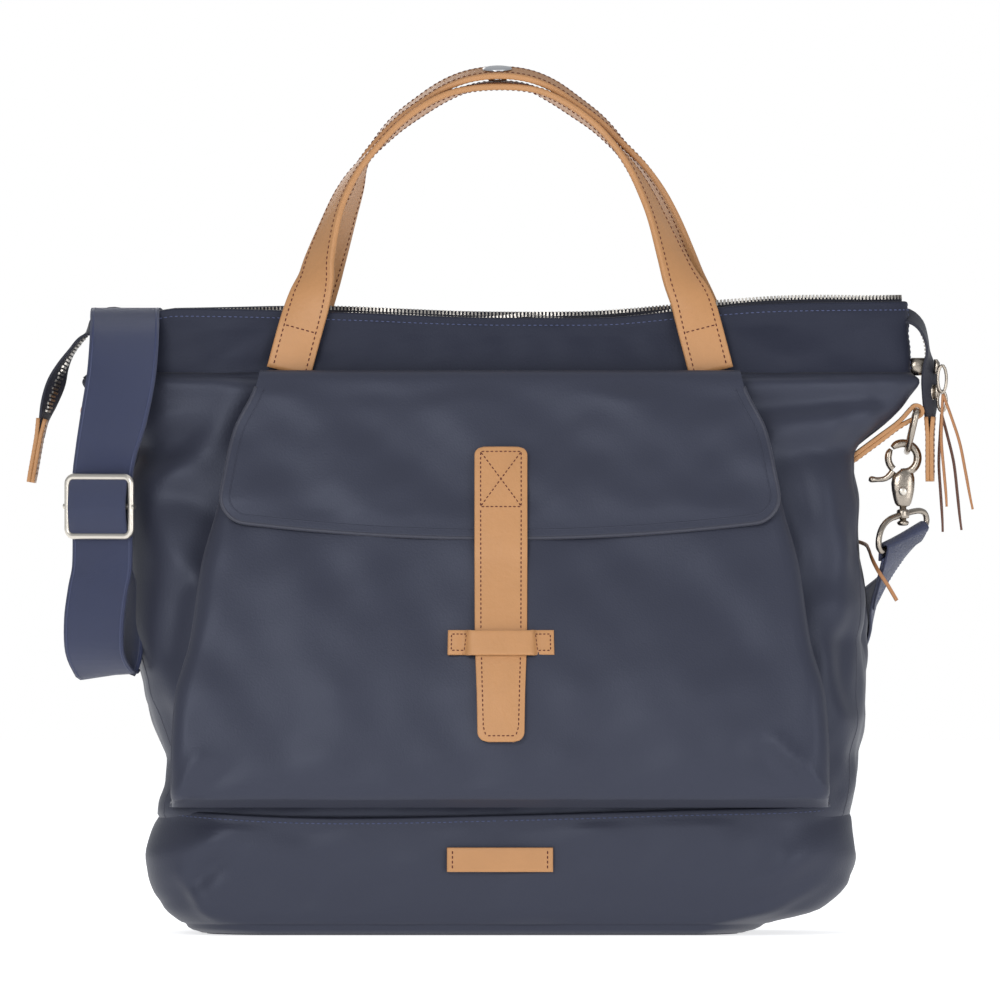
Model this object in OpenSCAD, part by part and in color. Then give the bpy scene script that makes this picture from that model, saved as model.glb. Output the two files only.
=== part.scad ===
// Diaper tote bag: coated nylon body with a lower band, bellows pocket and flap,
// leather handles, open top zip, rear zip pocket and a detachable webbing shoulder strap.
// Millimetres. X to the right, front of the bag towards -Y, Z up, origin on the floor.

/* [Body] */
// Widest width of the body below its top corners
body_w = 402; // [396:1:406]
// Depth of the bag at its base band
base_depth = 160; // [158:1:162]
// Thickness of the coated nylon panels
panel_t = 1.6; // [1.4:0.1:1.8]
// Height of the base band
band_h = 66; // [64:1:68]
// Height at which the top yokes begin
yoke_z = 308; // [307:1:309]
// Height of the yokes' top edge
top_z = 343; // [342:1:344]
// Thickness of the lining
lining_t = 0.8; // [0.6:0.1:1]

/* [Pocket] */
// Half width of the pocket at its foot
pocket_foot = 180; // [178:1:181]
// How far the pocket stands out of the body at its foot
pocket_depth = 32; // [30:1:34]
// Thickness of the pocket's fabric
pocket_t = 1.4; // [1.2:0.1:1.5]
// Thickness of the bound flap
flap_t = 2.4; // [2:0.1:2.6]

/* [Leather] */
// Width of the handle straps
handle_w = 25; // [24:0.5:26]
// Thickness of the handle straps
handle_t = 3.6; // [3.2:0.1:3.8]
// Width of the closure strap
closure_w = 29; // [28:0.5:30]
// Thickness of the closure strap
closure_t = 2.2; // [2:0.1:2.4]
// Width of the straps that hold the D-rings
ring_tab_w = 26; // [25:0.5:26.5]

/* [Hardware] */
// Wire radius of the D-rings and bails
wire_r = 1.5; // [1.4:0.05:1.55]
// Outer radius of the snap hook's eye
eye_r = 10.25; // [10:0.05:10.4]
// Inner radius of the snap hook's eye
eye_hole_r = 5.8; // [5.75:0.05:5.9]
// Width of the shoulder strap's webbing
webbing_w = 38; // [37:0.5:38]
// Thickness of the webbing
webbing_t = 1.6; // [1.4:0.1:1.7]

/* [Hidden] */

nylon = [0.27, 0.28, 0.33];
webbing = [0.23, 0.26, 0.36];
tape = [0.12, 0.13, 0.17];
tan = [0.72, 0.54, 0.38];
gunmetal = [0.45, 0.43, 0.4];
nickel = [0.78, 0.76, 0.71];
silver = [0.7, 0.7, 0.7];
inner = [0.62, 0.6, 0.56];
$fn = 48;

// Seam between the front or back panel and a gusset, as an angle round the corner
function seam_a(z) = lookup(z, [[66, 40], [160, 36], [250, 24], [290, 10], [308, 6]]);
corner_n = 6;
band_levels = [0, 4, 14, 40, band_h];
body_levels = [band_h, 95, 130, 160, 205, 250, 270, 290, 302, yoke_z];
yoke_levels = [yoke_z, 320, top_z];

// ---- the bag's outline: a rounded plan whose size and corners change with height ----
function half_w(z) = body_w / 402 * lookup(z, [
    [0, 176], [4, 183], [14, 190], [40, 195], [66, 190], [95, 191], [130, 198], [160, 201],
    [205, 199], [250, 195.5], [270, 196], [290, 214], [302, 230], [308, 225], [320, 224.5], [343, 223]]);
function half_d(z) = base_depth / 160 * lookup(z, [
    [0, 70], [4, 74], [14, 78], [40, 80], [66, 78], [95, 75], [130, 69], [160, 63],
    [205, 53], [250, 44], [270, 40], [290, 37], [302, 34.5], [308, 33], [320, 31.5], [343, 28]]);
function corner_x(z) = lookup(z, [
    [0, 40], [66, 44], [160, 36], [205, 34], [270, 60], [302, 120], [343, 150]]);
function corner_y(z) = lookup(z, [
    [0, 40], [66, 44], [160, 36], [205, 34], [270, 30], [302, 32], [343, 26]]);

// A point of the outline in its +X +Y quarter, at angle a round the corner
function quarter(z, a, inset) =
    let(rx = corner_x(z) - inset,
        ry = corner_y(z) - inset)
    [half_w(z) - inset - rx * (1 - cos(a)), half_d(z) - inset - ry * (1 - sin(a))];

function across(z, inset, side) = concat(
    [for (i = [0:corner_n]) let(p = quarter(z, seam_a(z) + (90 - seam_a(z)) * i / corner_n, inset))
        [-p[0], side * p[1], z]],
    [for (i = [corner_n:-1:0]) let(p = quarter(z, seam_a(z) + (90 - seam_a(z)) * i / corner_n, inset))
        [p[0], side * p[1], z]]);

function round_end(z, inset, side) = concat(
    [for (i = [0:corner_n]) let(p = quarter(z, seam_a(z) * (1 - i / corner_n), inset))
        [side * p[0], -p[1], z]],
    [for (i = [0:corner_n]) let(p = quarter(z, seam_a(z) * i / corner_n, inset))
        [side * p[0], p[1], z]]);

function outline(z, inset) = concat(
    [for (i = [0:2 * corner_n]) let(p = quarter(z, 90 * i / (2 * corner_n), inset)) [p[0], p[1], z]],
    [for (i = [2 * corner_n:-1:0]) let(p = quarter(z, 90 * i / (2 * corner_n), inset)) [-p[0], p[1], z]],
    [for (i = [0:2 * corner_n]) let(p = quarter(z, 90 * i / (2 * corner_n), inset)) [-p[0], -p[1], z]],
    [for (i = [2 * corner_n:-1:0]) let(p = quarter(z, 90 * i / (2 * corner_n), inset)) [p[0], -p[1], z]]);

// ---- solids made of rows of points ----
function flat(rows) = [for (r = rows) for (p = r) p];

// A closed sheet with thickness: outer rows, and inner rows of the same count
module thick_sheet(outer, inside, flip = false) {
    rows = len(outer);
    cols = len(outer[0]);
    n = rows * cols;
    quads = concat(
        [for (r = [0:rows - 2]) for (c = [0:cols - 2])
            [r * cols + c, r * cols + c + 1, (r + 1) * cols + c + 1, (r + 1) * cols + c]],
        [for (r = [0:rows - 2]) for (c = [0:cols - 2])
            [n + r * cols + c, n + (r + 1) * cols + c, n + (r + 1) * cols + c + 1, n + r * cols + c + 1]],
        [for (c = [0:cols - 2]) [c + 1, c, n + c, n + c + 1]],
        [for (c = [0:cols - 2]) let(k = (rows - 1) * cols + c) [k, k + 1, n + k + 1, n + k]],
        [for (r = [0:rows - 2]) let(k = r * cols) [k, k + cols, n + k + cols, n + k]],
        [for (r = [0:rows - 2]) let(k = r * cols + cols - 1) [k + cols, k, n + k, n + k + cols]]);
    faces = [for (q = quads) each [[q[0], q[1], q[2]], [q[0], q[2], q[3]]]];
    polyhedron(concat(flat(outer), flat(inside)),
        flip ? [for (f = faces) [f[2], f[1], f[0]]] : faces, convexity = 8);
}

// A solid through closed rings of the same count, with flat ends; the sides from number turned on
// are split along the other diagonal, which keeps the two faces of a twisted strap apart
module loft(rings, turned = 1000) {
    k = len(rings[0]);
    m = len(rings);
    faces = concat(
        [[for (i = [0:k - 1]) i]],
        [for (r = [0:m - 2]) for (i = [0:k - 1])
            let(j = (i + 1) % k,
                a = r * k + i,
                b = (r + 1) * k + i,
                c = (r + 1) * k + j,
                d = r * k + j)
            each i < turned ? [[a, b, c], [a, c, d]] : [[a, b, d], [b, c, d]]],
        [[for (i = [k - 1:-1:0]) (m - 1) * k + i]]);
    polyhedron(flat(rings), faces, convexity = 8);
}

function unit(v) = v / norm(v);
function along(p, i) = unit(p[min(i + 1, len(p) - 1)] - p[max(i - 1, 0)]);

// A flat strap along centre points, each with its own width direction
module strap(points, wides, w, t) {
    loft([for (i = [0:len(points) - 1])
        let(d = along(points, i),
            n = unit(cross(d, wides[i])),
            u = unit(cross(n, d)) * w / 2,
            h = n * t / 2)
        [points[i] - u - h, points[i] + u - h, points[i] + u + h, points[i] - u + h]], 2);
}

// A round wire along centre points, which stays near the plane whose normal is up
module wire(points, r, up, sides = 10) {
    loft([for (i = [0:len(points) - 1])
        let(d = along(points, i),
            a = unit(cross(up, d)),
            b = cross(d, a))
        [for (k = [0:sides - 1]) points[i] + r * (cos(360 * k / sides) * a + sin(360 * k / sides) * b)]]);
}

// ---- body ----
module panel(levels, side) {
    thick_sheet([for (z = levels) across(z, 0, side)], [for (z = levels) across(z, panel_t, side)], side > 0);
}

module front_panel() {
    color(nylon) panel(body_levels, -1);
}

module back_panel() {
    color(nylon) panel(body_levels, 1);
}

module gusset(side) {
    thick_sheet([for (z = body_levels) round_end(z, 0, side)],
        [for (z = body_levels) round_end(z, panel_t, side)], side < 0);
}

module left_gusset() {
    color(nylon) gusset(-1);
}

module right_gusset() {
    color(nylon) gusset(1);
}

module base_band() {
    color(nylon) difference() {
        loft([for (z = band_levels) outline(z, 0)]);
        translate([0, 0, -1]) linear_extrude(3.5) polygon([for (p = outline(0, panel_t)) [p[0], p[1]]]);
        loft([for (z = [2.5, 4, 14, 40, band_h, band_h + 1]) outline(z, panel_t)]);
    }
}

module base_panel() {
    color(nylon) linear_extrude(1.8) polygon([for (p = outline(0, panel_t)) [p[0], p[1]]]);
}

module base_board() {
    color(inner) translate([0, 0, 1.8]) linear_extrude(2.2) polygon([for (p = outline(0, 9)) [p[0], p[1]]]);
}

lining_gap = 4.4;
lining_levels = concat([8, 14, 40], body_levels, [320, 335]);
module lining() {
    color(inner) difference() {
        loft([for (z = lining_levels) outline(z, lining_gap)]);
        loft([for (z = concat([8 + lining_t], [for (i = [1:len(lining_levels) - 1]) lining_levels[i]], [336]))
            outline(z, lining_gap + lining_t)]);
    }
}

// The yokes part towards the top of each end, where the zip's tape comes out between them
function yoke_a(z) = lookup(z, [[308, 0], [320, 9], [343, 17]]);
function yoke_row(z, inset, side) = concat(
    [for (i = [0:2 * corner_n]) let(p = quarter(z, yoke_a(z) + (90 - yoke_a(z)) * i / (2 * corner_n), inset))
        [-p[0], side * p[1], z]],
    [for (i = [2 * corner_n:-1:0]) let(p = quarter(z, yoke_a(z) + (90 - yoke_a(z)) * i / (2 * corner_n), inset))
        [p[0], side * p[1], z]]);
// The shoulder strap's weight holds the mouth's edge down where it passes over the left end
strap_rest_z = 337.5;
module yoke(side) {
    difference() {
        thick_sheet([for (z = yoke_levels) yoke_row(z, 0, side)],
            [for (z = yoke_levels) yoke_row(z, panel_t, side)], side > 0);
        translate([-240, -40, strap_rest_z]) cube([59, 80, 20]);
    }
}

module front_yoke() {
    color(nylon) yoke(-1);
}

module rear_yoke() {
    color(nylon) yoke(1);
}

// Flat pouch of the rear zip pocket, between the back panel and the lining
pouch_w = 240;
pouch_h = 118;
pouch_t = 1.1;
module rear_pocket_pouch() {
    color(inner) translate([33, half_d(100) - 2.1, 100]) rotate([11.3, 0, 0])
        translate([-pouch_w / 2, -pouch_t, 0]) cube([pouch_w, pouch_t, pouch_h]);
}

// ---- main zip ----
// The open tape halves stand along the mouth's edges and wave a little
zip_n = 44;
function zip_x(i) = -178 + 378 * i / zip_n;
function zip_y(x) =
    half_d(top_z) - 5.5 - corner_y(top_z) * (1 - sqrt(1 - pow(max(0, (abs(x) - 73) / 150), 2)));
function zip_top(x, phase) = top_z + 2.6 + 1.6 * sin(x * 1.7 + phase);
tape_t = 0.9;
module zip_tape_half(side, phase) {
    rows = [for (i = [0:zip_n]) let(x = zip_x(i))
        [[x, side * zip_y(x), 330], [x, side * zip_y(x), zip_top(x, phase)]]];
    thick_sheet(rows, [for (r = rows) [for (p = r) p - [0, side * tape_t, 0]]], side < 0);
}
module zip_teeth_half(side, phase) {
    tooth_r = 1.3;
    wire([for (i = [0:zip_n]) let(x = zip_x(i))
        [x, side * (zip_y(x) - tape_t / 2), zip_top(x, phase) + tooth_r]], tooth_r, [0, 1, 0], 6);
}
front_phase = 40;
rear_phase = 200;

module front_zip_tape() {
    color(tape) zip_tape_half(-1, front_phase);
}

module rear_zip_tape() {
    color(tape) zip_tape_half(1, rear_phase);
}

module front_zip_teeth() {
    color(silver) zip_teeth_half(-1, front_phase);
}

module rear_zip_teeth() {
    color(silver) zip_teeth_half(1, rear_phase);
}

// The tape runs on past both ends of the mouth and hangs as a tail with a leather tab
tail_w = 14;
tail_t = 2;
tail_x = 236.5;
right_tail = [
    [212, 0, 336], [222, 0, 340], [229, 0, 338], [234, 0, 332], [236, 0, 325], [tail_x, 0, 316],
    [tail_x, 0, 306], [tail_x, 0, 296], [tail_x, 0, 288], [tail_x, 0, 281]];
left_tail = [
    [-212, 0, 336], [-222, 0, 339], [-230, 0, 335], [-236, 0, 327], [-240, 0, 318], [-244, 0, 308],
    [-247.5, 0, 298], [-250, 0, 288], [-252, 0, 280]];
module tail(points) {
    strap(points, [for (p = points) [0, 1, 0]], tail_w, tail_t);
}

module left_zip_tail() {
    color(tape) tail(left_tail);
}

module right_zip_tail() {
    color(tape) tail(right_tail);
}

module tail_tab(at, lean, h) {
    translate(at) rotate([0, lean, 0]) difference() {
        translate([-3.2, -8.5, -h]) cube([6.4, 17, h + 2.5]);
        translate([-1.1, -9, -0.1]) cube([2.2, 18, 3]);
    }
}

module left_tail_tab() {
    color(tan) tail_tab([-252, 0, 279.8], 10, 33);
}

module right_tail_tab() {
    color(tan) tail_tab([tail_x, 0, 280.8], 0, 34);
}

// Zip slider: a block with a slot for the tape and a bridge for the link
module zip_slider_body(slot_w, slot_t) {
    difference() {
        translate([-3.1, -8.5, -5]) cube([7.1, 17, 10]);
        translate([-slot_t / 2, -slot_w / 2, -6]) cube([slot_t, slot_w, 12]);
    }
    difference() {
        translate([4, -1, -3.5]) cube([3.6, 2, 7]);
        translate([5.4, 0, 0]) rotate([90, 0, 0]) cylinder(r = 1.2, h = 4, center = true);
    }
}
upper_slider_z = 311;
lower_slider_z = 297;
link_x = tail_x + 5.4;
link_r = 0.8;
// Oval wire link that hangs on the slider's bridge, in the plane across Y
module zip_link(z, reach, half) {
    translate([link_x, 0, z]) {
        rotate([90, 0, 0]) cylinder(r = link_r, h = 2 * half, center = true);
        for (y = [-half, half]) {
            translate([0, y, 0]) sphere(r = link_r);
            translate([0, y, -reach]) cylinder(r = link_r, h = reach);
            translate([0, y, -reach]) sphere(r = link_r);
        }
        translate([0, 0, -reach]) rotate([90, 0, 0]) cylinder(r = link_r, h = 2 * half, center = true);
    }
}
upper_reach = 9;
lower_reach = 10;
// Folded leather thong: two tails from one fold round the link
module thong(fold, tips, w) {
    for (tip = tips) {
        mid = (fold * 0.45 + tip * 0.55) + [tip[0] > fold[0] + 5 ? -1.5 : 0.8, 0, 2];
        strap([fold, fold * 0.6 + mid * 0.4, mid, mid * 0.4 + tip * 0.6, tip],
            [for (i = [0:4]) [0, 1, 0]], w, 1.3);
    }
}

module upper_zip_slider() {
    color(gunmetal) translate([tail_x, 0, upper_slider_z]) zip_slider_body(14.8, 2.8);
}

module upper_zip_link() {
    color(gunmetal) zip_link(upper_slider_z, upper_reach, 4.2);
}

module upper_zip_thong() {
    color(tan) translate([0, -5.6, 0]) thong([link_x + 1.6, 0, upper_slider_z - upper_reach - 2],
        [[244.5, 0, 234], [261, 0, 232.5]], 2.6);
}

module lower_zip_slider() {
    color(gunmetal) translate([tail_x, 0, lower_slider_z]) zip_slider_body(14.8, 2.8);
}

module lower_zip_link() {
    color(gunmetal) zip_link(lower_slider_z, lower_reach, 3);
}

module lower_zip_thong() {
    color(tan) translate([0, 4.4, 0]) thong([link_x + 1, 0, lower_slider_z - lower_reach - 2],
        [[242.5, 0, 220], [255, 0, 221]], 2.6);
}

// ---- front pocket ----
pocket_levels = [69, 82, 95, 130, 160, 205, 250, 270, 290, 305];
function pocket_w(z) = pocket_foot / 180 * lookup(z, [
    [69, 178], [82, 180], [95, 180], [130, 178], [160, 170], [205, 163], [230, 156], [250, 151],
    [276, 143], [305, 131]]);
function pocket_y(z) = half_d(z) + pocket_depth / 32 * lookup(z, [
    [69, 27], [82, 32], [95, 33], [130, 33], [160, 30], [205, 25], [250, 20], [276, 16], [305, 11.5]]);
pocket_corner = 9;
function pocket_row(z, inset) =
    let(r = pocket_corner - inset,
        x = pocket_w(z) - inset - r,
        y = pocket_y(z) - inset - r)
    concat(
        [for (i = [0:4]) [-x - r * cos(90 * i / 4), -y - r * sin(90 * i / 4), z]],
        [for (i = [4:-1:0]) [x + r * cos(90 * i / 4), -y - r * sin(90 * i / 4), z]]);

module pocket_front() {
    color(nylon) thick_sheet([for (z = pocket_levels) pocket_row(z, 0)],
        [for (z = pocket_levels) pocket_row(z, pocket_t)]);
}

// The bellows: a strip down one side, under the foot and up the other side
foot_x = [172, 165, 156, 146];
function gusset_path(inset) =
    let(foot_z = pocket_levels[0])
    concat(
        [for (i = [len(pocket_levels) - 1:-1:0]) let(z = pocket_levels[i])
            [-pocket_w(z) + inset, i == 0 ? z + inset : z, z]],
        [for (x = foot_x) [-x, foot_z + inset, foot_z]],
        [for (i = [len(foot_x) - 1:-1:0]) [foot_x[i], foot_z + inset, foot_z]],
        [for (i = [0:len(pocket_levels) - 1]) let(z = pocket_levels[i])
            [pocket_w(z) - inset, i == 0 ? z + inset : z, z]]);
function gusset_row(p) = [
    [p[0], -pocket_y(p[2]) + pocket_corner, p[1]],
    [p[0], -max(half_d(p[2]), half_d(p[1])) - 0.5 + side_setback(p[0], p[2]), p[1]]];
// The body's outline has turned away by this much at the pocket's edge
function side_setback(x, z) =
    let(over = max(0, abs(x) - half_w(z) + corner_x(z)))
    corner_y(z) * (1 - sqrt(1 - pow(min(0.98, over / corner_x(z)), 2)));

module pocket_gusset() {
    color(nylon) thick_sheet([for (p = gusset_path(0)) gusset_row(p)],
        [for (p = gusset_path(pocket_t)) gusset_row(p)]);
}

// ---- flap ----
flap_cols = 12;
flap_half = [131, 135, 140, 146, 150, 153, 152];
function flap_profile(x) = [
    [-39.6, 310.6], [-43, 312], [-46.5, 311],
    [-flap_y(300), 300], [-flap_y(276), 276], [-flap_y(250), 250],
    [-flap_y(flap_hem(x)), flap_hem(x)]];
function flap_y(z) = pocket_y(z) + 0.6;
function flap_hem(x) = 217 + 10 * pow(abs(x) / 152, 2);
module pocket_flap() {
    outer = [for (r = [0:6]) [for (c = [0:flap_cols])
        let(x = (2 * c / flap_cols - 1) * flap_half[r],
            p = flap_profile(x)[r],
            o = flap_out[r])
        [x, p[0] - flap_t * o[0], p[1] + flap_t * o[1]]]];
    under = [for (r = [0:6]) [for (c = [0:flap_cols])
        let(x = (2 * c / flap_cols - 1) * flap_half[r], p = flap_profile(x)[r]) [x, p[0], p[1]]]];
    color(nylon) thick_sheet(outer, under, true);
}
// How the flap's thickness points at each row, forward and up
flap_out = [[-0.2, 0.9], [0.1, 1], [0.7, 0.7], [1, 0.2], [1, 0.2], [1, 0.2], [1, 0.2]];

// ---- closure strap, keeper and label ----
closure_rows = [
    [267, 14.5], [250, 14.5], [232, 14.5], [217, 14.5], [205, 14.5], [180, 14.5], [160, 14.2], [130, 13.4],
    [116, 12.8], [109, 9.5], [106.5, 4]];
function closure_back(z) = pocket_y(z) + (z > 212 ? flap_t + 0.9 : 0.7);
module closure_strap() {
    outer = [for (r = closure_rows) [for (s = [-1, 0, 1])
        [0.5 + s * r[1] * closure_w / 29, -closure_back(r[0]) - closure_t, r[0]]]];
    under = [for (row = outer) [for (p = row) p + [0, closure_t, 0]]];
    color(tan) thick_sheet(outer, under, true);
}

keeper_z = 160.5;
keeper_h = 14;
module strap_keeper() {
    rise = closure_t + 1.4;
    t = 1.8;
    color(tan) translate([0.5, -pocket_y(keeper_z) - 0.3, keeper_z]) rotate([-17, 0, 0])
        translate([0, 0, -keeper_h / 2]) linear_extrude(keeper_h)
        polygon([[-28.5, 0], [-17, 0], [-15.6, -rise], [15.6, -rise], [17, 0], [28.5, 0],
            [28.5, -t], [18.5, -t], [16.8, -rise - t], [-16.8, -rise - t], [-18.5, -t], [-28.5, -t]]);
}

label_w = 58;
label_h = 13;
module label_patch() {
    color(tan) translate([-label_w / 2, -half_d(40) - 1.7, 41.5 - label_h / 2]) cube([label_w, 1.5, label_h]);
}

// ---- handles ----
// Half of a handle's centreline, from the foot to the top: across and up
handle_half = [[116, 308], [110, 331], [105.5, 347], [101, 359], [97, 370], [91, 392], [85, 408], [78, 420],
    [69, 431], [58, 442], [45, 451], [30, 458.5], [15, 463], [0, 464.5]];
handle_lean = [[308, 36.2], [331, 34.4], [347, 31.5], [370, 26], [400, 18.4], [430, 9.5], [450, 4.4], [465, 0]];
// How far the straps have twisted by each height, from flat on the yokes to lying across the grip
function turn_at(z) = lookup(z, [
    [331, 0], [343, 6], [350, 24], [370, 54], [388, 69], [406, 77], [420, 84], [432, 90], [470, 90]]);
module handle_run(side, lift) {
    half = [for (i = [1:len(handle_half) - 1]) handle_half[i]];
    path = concat(
        [for (p = half) [-p[0], side * lookup(p[1], handle_lean), p[1]]],
        [for (i = [len(half) - 2:-1:0]) let(p = half[i]) [p[0], side * lookup(p[1], handle_lean), p[1]]]);
    raised = [for (i = [0:len(path) - 1])
        let(p = path[i],
            d = along(path, i),
            share = lookup(p[2], [[404, 0], [418, 0.85], [428, 1], [470, 1]]))
        p + lift * (share * unit([-d[2], 0, d[0]]) + [0.7 * (1 - share), 0, 0])];
    wides = [for (i = [0:len(path) - 1])
        let(d = along(raised, i),
            a = turn_at(path[i][2]),
            n = unit([-d[2], 0, d[0]]))
        i == 0 ? [-1, 0, 0] : i == len(path) - 1 ? [1, 0, 0] : cos(a) * n - [0, side * sin(a), 0]];
    strap(raised, wides, handle_w, handle_t);
}
module handle_feet(side, shift) {
    for (s = [-1, 1]) {
        strap([[s * 116 + shift, side * 35.6, 308.5], [s * 111.2 + shift, side * 34.4, 327]],
            [[1, 0, 0.27 * s], [1, 0, 0]], handle_w, handle_t - 0.4);
    }
}
// The rear handle lies over the front one at the top and stands a little to the right of it lower down
rear_lift = 5.6;

module front_handle_feet() {
    color(tan) handle_feet(-1, 0);
}

module rear_handle_feet() {
    color(tan) handle_feet(1, 0.7 * rear_lift);
}

module front_handle() {
    color(tan) handle_run(-1, 0);
}

module rear_handle() {
    color(tan) handle_run(1, rear_lift);
}

snap_x = -2.5;
module handle_snap_cap() {
    color(silver) translate([snap_x, 0, 464.55 + rear_lift + handle_t / 2]) difference() {
        translate([0, 0, -19]) sphere(r = 21.6, $fn = 96);
        translate([-30, -30, -60]) cube([60, 60, 60]);
        difference() {
            cylinder(r = 30, h = 20, center = true);
            cylinder(r = 8, h = 21, center = true);
        }
    }
}

module handle_snap_stud() {
    color(silver) translate([snap_x, 0, 464.5 + handle_t / 2 + 0.05]) cylinder(r = 4.5, h = 0.8);
}

// ---- side hardware, drawn for the right side and mirrored for the left ----
ring_pin = [229, 0, 286.5];
hook_at = [221.6, 0, 260.7];
module mirrored(side) {
    if (side < 0) {
        mirror([1, 0, 0]) children();
    } else {
        children();
    }
}

// Leather strap from the gusset up to the D-ring's bar, rolled round the bar
module ring_tab() {
    t = 2.4;
    reach = [32.6, 23.5];
    rotate([90, 0, 0]) linear_extrude(ring_tab_w, center = true) difference() {
        union() {
            translate([ring_pin[0], ring_pin[2]]) circle(r = wire_r + t + 0.15);
            polygon([
                [ring_pin[0] - reach[0], ring_pin[2] - reach[1] - 2.9], [ring_pin[0] + 2, ring_pin[2] - 3.4],
                [ring_pin[0] - 1.6, ring_pin[2] + 3.4], [ring_pin[0] - reach[0], ring_pin[2] - reach[1] + 1]]);
        }
        translate([ring_pin[0], ring_pin[2]]) circle(r = wire_r + 0.15);
    }
}

// D-ring: straight bar, two short sides and a half-round foot
ring_lean = 13;
module d_ring() {
    half = 15.5;
    drop = 7.5;
    translate(ring_pin) rotate([0, ring_lean, 0]) {
        rotate([90, 0, 0]) cylinder(r = wire_r, h = 2 * half, center = true);
        for (y = [-half, half]) {
            translate([0, y, 0]) sphere(r = wire_r);
            translate([0, y, -drop]) cylinder(r = wire_r, h = drop);
        }
        for (a = [0, -90]) {
            translate([0, 0, -drop]) rotate([0, 90, 0]) rotate([0, 0, a]) rotate_extrude(angle = 90)
                translate([half, 0]) circle(r = wire_r);
        }
    }
}

module eye_sector(from, to) {
    intersection() {
        difference() {
            circle(r = eye_r);
            circle(r = eye_hole_r);
        }
        polygon(concat([[0, 0]], [for (i = [0:8]) let(a = from + (to - from) * i / 8) 30 * [cos(a), sin(a)]]));
    }
}

hook_t = 4;
rivet_r = 1.25;
rivet_z = -18.2;
// How far the trigger's tip is from the rivet that it turns on
gate_reach = 23.4;
module upright(h) {
    rotate([90, 0, 0]) linear_extrude(h, center = true) children();
}

module hook_body() {
    translate(hook_at) {
        difference() {
            union() {
                upright(hook_t) eye_sector(-100, 100);
                upright(hook_t) difference() {
                    eye_sector(99, 148);
                    translate([0, rivet_z]) circle(r = gate_reach + 0.3);
                }
                upright(hook_t) polygon([
                    [-1, -5.9], [5, -8.5], [6.3, -14], [4.6, -25.8], [-4.6, -25.8], [-6.3, -14], [-3.5, -10]]);
            }
            translate([-9, -1, -24.2]) cube([10.4, 2, 15]);
            translate([-9, -3, -13.6]) cube([7.4, 6, 9]);
            translate([0, 0, rivet_z]) rotate([90, 0, 0]) cylinder(r = rivet_r, h = 6, center = true);
        }
        translate([0, 0, -35]) cylinder(r = 1.9, h = 9.4);
        translate([0, 0, -36.4]) cylinder(r = 3.2, h = 1.8);
    }
}

module hook_rivet() {
    translate(hook_at + [0, 0, rivet_z]) rotate([90, 0, 0]) {
        cylinder(r = rivet_r, h = 5.2, center = true);
        translate([0, 0, 2]) cylinder(r = 2.2, h = 0.7);
        translate([0, 0, -2.7]) cylinder(r = 2.2, h = 0.7);
    }
}

// Trigger: closes the eye's left side, turns on the rivet, with a thumb lever
module hook_trigger() {
    translate(hook_at) difference() {
        union() {
            upright(3.4) intersection() {
                eye_sector(142, 231);
                translate([0, rivet_z]) circle(r = gate_reach);
            }
            upright(3.4) polygon([[-8.2, -6], [-5.2, -6.2], [-3.2, -9.5], [-3.2, -13.2], [-8.2, -11.5]]);
            upright(2.4) polygon([
                [-7.5, -9.6], [-7.5, -12.4], [-17, -13.2], [-18.6, -12.6], [-18.6, -11.2], [-17, -10.4]]);
            upright(1.6) polygon([
                [-5, -9.6], [-2.9, -9.6], [1.1, -16.6], [1.1, -20], [-3.4, -20.6], [-5.6, -12.5]]);
        }
        translate([0, 0, rivet_z]) rotate([90, 0, 0]) cylinder(r = rivet_r + 0.05, h = 6, center = true);
    }
}

// How far each bail has swung round the hook's neck
right_turn = 50;
left_turn = -105;
bail_sleeve_z = [-33, -28.4];
module hook_bail(turn) {
    translate(hook_at) rotate([0, 0, turn]) {
        translate([0, 0, bail_sleeve_z[0]]) difference() {
            cylinder(r = 3.4, h = bail_sleeve_z[1] - bail_sleeve_z[0]);
            translate([0, 0, -1]) cylinder(r = 2, h = 8);
        }
        wire([[2.6, 0, -30.6], [8, 0, -29.6], [15, 0, -29.2], [19, 0, -30.6], [20.6, 0, -34], [19.6, 0, -37.2],
            [15, 0, -39.4], [0, 0, -45], [-14, 0, -50.2], [-18.6, 0, -51], [-21, 0, -48.6], [-20.6, 0, -43],
            [-17.6, 0, -37.6], [-12, 0, -33.8], [-2.8, 0, -31.4]], wire_r, [0, 1, 0]);
    }
}

module left_ring_tab() {
    color(tan) mirrored(-1) ring_tab();
}

module right_ring_tab() {
    color(tan) ring_tab();
}

module left_d_ring() {
    color(gunmetal) mirrored(-1) d_ring();
}

module right_d_ring() {
    color(gunmetal) d_ring();
}

module left_hook_body() {
    color(gunmetal) mirrored(-1) hook_body();
}

module right_hook_body() {
    color(gunmetal) hook_body();
}

module left_hook_rivet() {
    color(gunmetal) mirrored(-1) hook_rivet();
}

module right_hook_rivet() {
    color(gunmetal) hook_rivet();
}

module left_hook_trigger() {
    color(gunmetal) mirrored(-1) hook_trigger();
}

module right_hook_trigger() {
    color(gunmetal) hook_trigger();
}

module left_hook_bail() {
    color(gunmetal) mirrored(-1) hook_bail(left_turn);
}

module right_hook_bail() {
    color(gunmetal) hook_bail(right_turn);
}

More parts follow.
